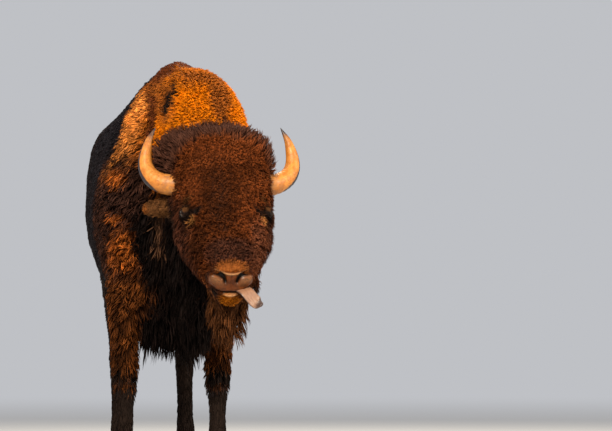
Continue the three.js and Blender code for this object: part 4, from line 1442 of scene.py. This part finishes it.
class BISON_OT_tongue(bpy.types.Operator):
    """Makes the tongue, which hangs over the left lip with its tip curled up"""

    bl_idname = "bison.tongue"
    bl_label = "Tongue"

    def execute(self, context):
        groove, count = context.scene.bison_sizes.tongue_groove, 24
        stations = (
            (0.026, -0.056, 0.440),
            (0.046, -0.056, 0.486),
            (0.062, -0.040, 0.520),
            (0.082, -0.050, 0.546),
            (0.104, -0.063, 0.562),
            (0.126, -0.060, 0.568),
        )
        line = smooth_line([head(*place) for place in stations], 40)

        def girth(t):
            close = (1 - max(0, (t - 0.86) / 0.14) ** 2.2) ** 0.5
            return (TONGUE_HALF - 0.003 * t) * max(close, 0.06), (0.0072 - 0.0018 * t) * max(close, 0.12)

        across = unit(np.array((0.35, 1, 0.25)) @ HEAD_AXES)
        heading = unit(np.gradient(line, axis=0))
        obj = sweep("tongue_shown", line, unit(np.cross(heading[20], across)), girth, count)
        close_ends(obj, count)
        along_and_round(obj, count)
        # a groove down the middle, and edges that turn up towards the tip
        points, normal = points_of(obj), normals_of(obj)
        at = np.minimum(ring_of(obj, count), len(line) - 1)
        wide = unit(np.cross(heading, across))[at]
        upper = across[None]
        off = ((points - line[at]) * wide).sum(1) / TONGUE_HALF_EVEN
        top = ramp(-0.1, 0.5, (normal * upper).sum(1))
        points -= upper * (groove * mound(off, 0.22) * top)[:, None]
        points += upper * (0.005 * np.abs(off) ** 2.5 * ramp(0.35, 0.8, at / len(line)))[:, None]
        set_points(obj, points)
        attribute(obj, "edge", np.abs(off))
        finished(obj, tongue_material(), "tongue", "tongue")
        return {"FINISHED"}


def hoof_material():
    g = Graph("hoof")
    growth = g.noise(1.0, 2.0, g.stretch((14, 14, 260)))
    split = g.noise(1.0, 3.0, g.stretch((240, 240, 18)))
    colour = g.mix(growth.ramp(0.4, 0.65), g.tone("hoof_black"), (0.022, 0.017, 0.0135))
    height = g.dot(g.place, (0, 0, 1))
    dust = height.ramp(0.03, 0.0) * g.noise(60.0, 3.0).ramp(0.35, 0.7)
    colour = g.mix(dust * 0.5, colour, (0.10, 0.072, 0.048))
    return g.surface(
        base_color=colour,
        roughness=growth.ramp(0.3, 0.7, 0.46, 0.66),
        specular_ior_level=0.25,
        normal=g.bump(split, 0.0006, 0.5, g.bump(growth, 0.0012, 0.6)),
    )


CLAW_HEIGHTS = (0.0762, 0.064, 0.05, 0.03, 0.012, 0.0)
CLAW_ASIDE, CLAW_LEAN = 0.022, 0.21
DEWCLAW_ASIDE, DEWCLAW_BACK, DEWCLAW_HEIGHT = 0.024, 0.068, 0.118
DEWCLAW_RADII = (0.0130, 0.0185, 0.0235)


def claw_girth(t):
    """Half a claw's width and length, at a share t of the way down."""
    return 0.0300 + 0.0085 * t, 0.0575 + 0.0145 * t


def make_claw(x, y, half, gap):
    """One half of a hoof, cut off flat at the cleft. half is -1 or 1."""
    line = np.array([(x + half * CLAW_ASIDE, y, z) for z in CLAW_HEIGHTS])
    claw = sweep("claw", line, (1, 0, 0), claw_girth, 32)
    bpy.ops.mesh.edge_face_add()
    bpy.ops.mesh.select_all(action="SELECT")
    cleft = (x + half * gap / 2, 0, 0)
    bpy.ops.mesh.bisect(plane_co=cleft, plane_no=(-half, 0, 0), use_fill=True, clear_outer=True)
    leave()
    select_where(claw, points_of(claw)[:, 2] > CLAW_HEIGHTS[0] - 0.0002)
    fill_and_face_out()
    # the claw leans back from its toe, with its rings still level
    points = points_of(claw)
    points[:, 1] += CLAW_LEAN * points[:, 2]
    set_points(claw, points)
    modify(claw, "BEVEL", width=0.0022, segments=2, angle_limit=radians(50))
    return claw


def make_dewclaw(x, y, half):
    place = (x + half * DEWCLAW_ASIDE, y + DEWCLAW_BACK, DEWCLAW_HEIGHT)
    deselect()
    bpy.ops.mesh.primitive_uv_sphere_add(
        segments=20, ring_count=12, radius=1, location=place, scale=DEWCLAW_RADII
    )
    bpy.ops.object.transform_apply()
    return bpy.context.object


class BISON_OT_hooves(bpy.types.Operator):
    """Makes the four cloven hooves and the dewclaws behind them"""

    bl_idname = "bison.hooves"
    bl_label = "Hooves"

    def execute(self, context):
        gap = context.scene.bison_sizes.claw_gap
        material = hoof_material()
        for foot in ("fore", "hind"):
            for word in SIDES:
                node = foot + "_hoof_" + word
                low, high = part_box(node)
                x, y = (low.x + high.x) / 2, (low.y + high.y) / 2
                made = [make_claw(x, y, half, gap) for half in (-1, 1)]
                made += [make_dewclaw(x, y, half) for half in (-1, 1)]
                finished(joined(node + "_shown", made), material, "hoof", node, smooth=40)
        return {"FINISHED"}


# ---- the stage ----
class BISON_OT_stage(bpy.types.Operator):
    """Lays the floor and sets the lights and the camera"""

    bl_idname = "bison.stage"
    bl_label = "Stage"

    def execute(self, context):
        deselect()
        bpy.ops.mesh.primitive_circle_add(vertices=96, radius=90, fill_type="NGON")
        floor = named("floor")
        g = Graph("floor")
        ground = g.surface(base_color=(0.46, 0.455, 0.445), roughness=0.9)
        # far away the floor turns into the even light of the background
        away = g.vector("LENGTH", g.place, output="Value").ramp(5.0, 16.0)
        glow = g.node("ShaderNodeEmission", {}, {"Color": (*SKY_COLOUR, 1), "Strength": SKY})
        mixed = g.node("ShaderNodeMixShader", {}, {0: away, 1: Value(g, g.shader.outputs[0]), 2: glow})
        g.tree.links.new(mixed.socket, g.tree.nodes["Material Output"].inputs["Surface"])
        floor.data.materials.append(ground)

        world = bpy.data.worlds.new("studio")
        context.scene.world = world
        world.use_nodes = True
        background = world.node_tree.nodes["Background"]
        background.inputs["Color"].default_value = (*SKY_COLOUR, 1)
        background.inputs["Strength"].default_value = SKY
        context.scene.view_settings.view_transform = "Standard"

        for name, place, size, power, colour in (
            ("key", (-2.6, -7.0, 5.6), 2.0, 1420, (1, 0.88, 0.70)),
            ("side", (5.5, -3.5, 3.6), 2.5, 480, (1, 0.86, 0.66)),
            ("back", (1.5, 6.5, 5), 3, 420, (1, 0.92, 0.8)),
        ):
            at = Vector(body(*place))
            aim = Vector(body(0, -0.3, 1.0)) - at
            deselect()
            turned_to = aim.to_track_quat("-Z", "Y").to_euler()
            bpy.ops.object.light_add(type="AREA", location=at, rotation=turned_to)
            light = bpy.context.object
            light.name, light.data.size = name, size
            light.data.energy, light.data.color = power, colour

        bpy.ops.object.camera_add(location=body(*CAMERA_AT), rotation=(CAMERA_TILT, 0, CAMERA_TURN))
        camera = bpy.context.object
        camera.data.lens = CAMERA_LENS
        camera.data.sensor_width = 36
        camera.data.clip_end = 200
        context.scene.camera = camera
        return {"FINISHED"}


class BISON_PT_panel(bpy.types.Panel):
    """Lists the bison's pieces and what can be changed on them"""

    bl_idname = "BISON_PT_panel"
    bl_label = "Bison Bull"
    bl_space_type = "VIEW_3D"
    bl_region_type = "UI"
    bl_category = "Bison"

    def draw(self, context):
        column = self.layout.column()
        for settings in (context.scene.bison_sizes, context.scene.bison_colours):
            for key in type(settings).__annotations__:
                column.prop(settings, key)
        for made in PIECES:
            column.operator(made.bl_idname)


PIECES = (
    BISON_OT_stage,
    BISON_OT_skin,
    BISON_OT_coat,
    BISON_OT_horns,
    BISON_OT_eyes,
    BISON_OT_tongue,
    BISON_OT_hooves,
)
CLASSES = (BisonColours, BisonSizes, *PIECES, BISON_PT_panel)


def register():
    for made in CLASSES:
        bpy.utils.register_class(made)
    bpy.types.Scene.bison_colours = PointerProperty(type=BisonColours)
    bpy.types.Scene.bison_sizes = PointerProperty(type=BisonSizes)


def unregister():
    del bpy.types.Scene.bison_sizes
    del bpy.types.Scene.bison_colours
    for made in reversed(CLASSES):
        bpy.utils.unregister_class(made)


def main():
    """Makes the whole bison."""
    register()
    bpy.ops.bison.stage()
    bpy.ops.bison.skin()
    bpy.ops.bison.coat()
    bpy.ops.bison.horns()
    bpy.ops.bison.eyes()
    bpy.ops.bison.tongue()
    bpy.ops.bison.hooves()


if __name__ == "__main__":
    main()
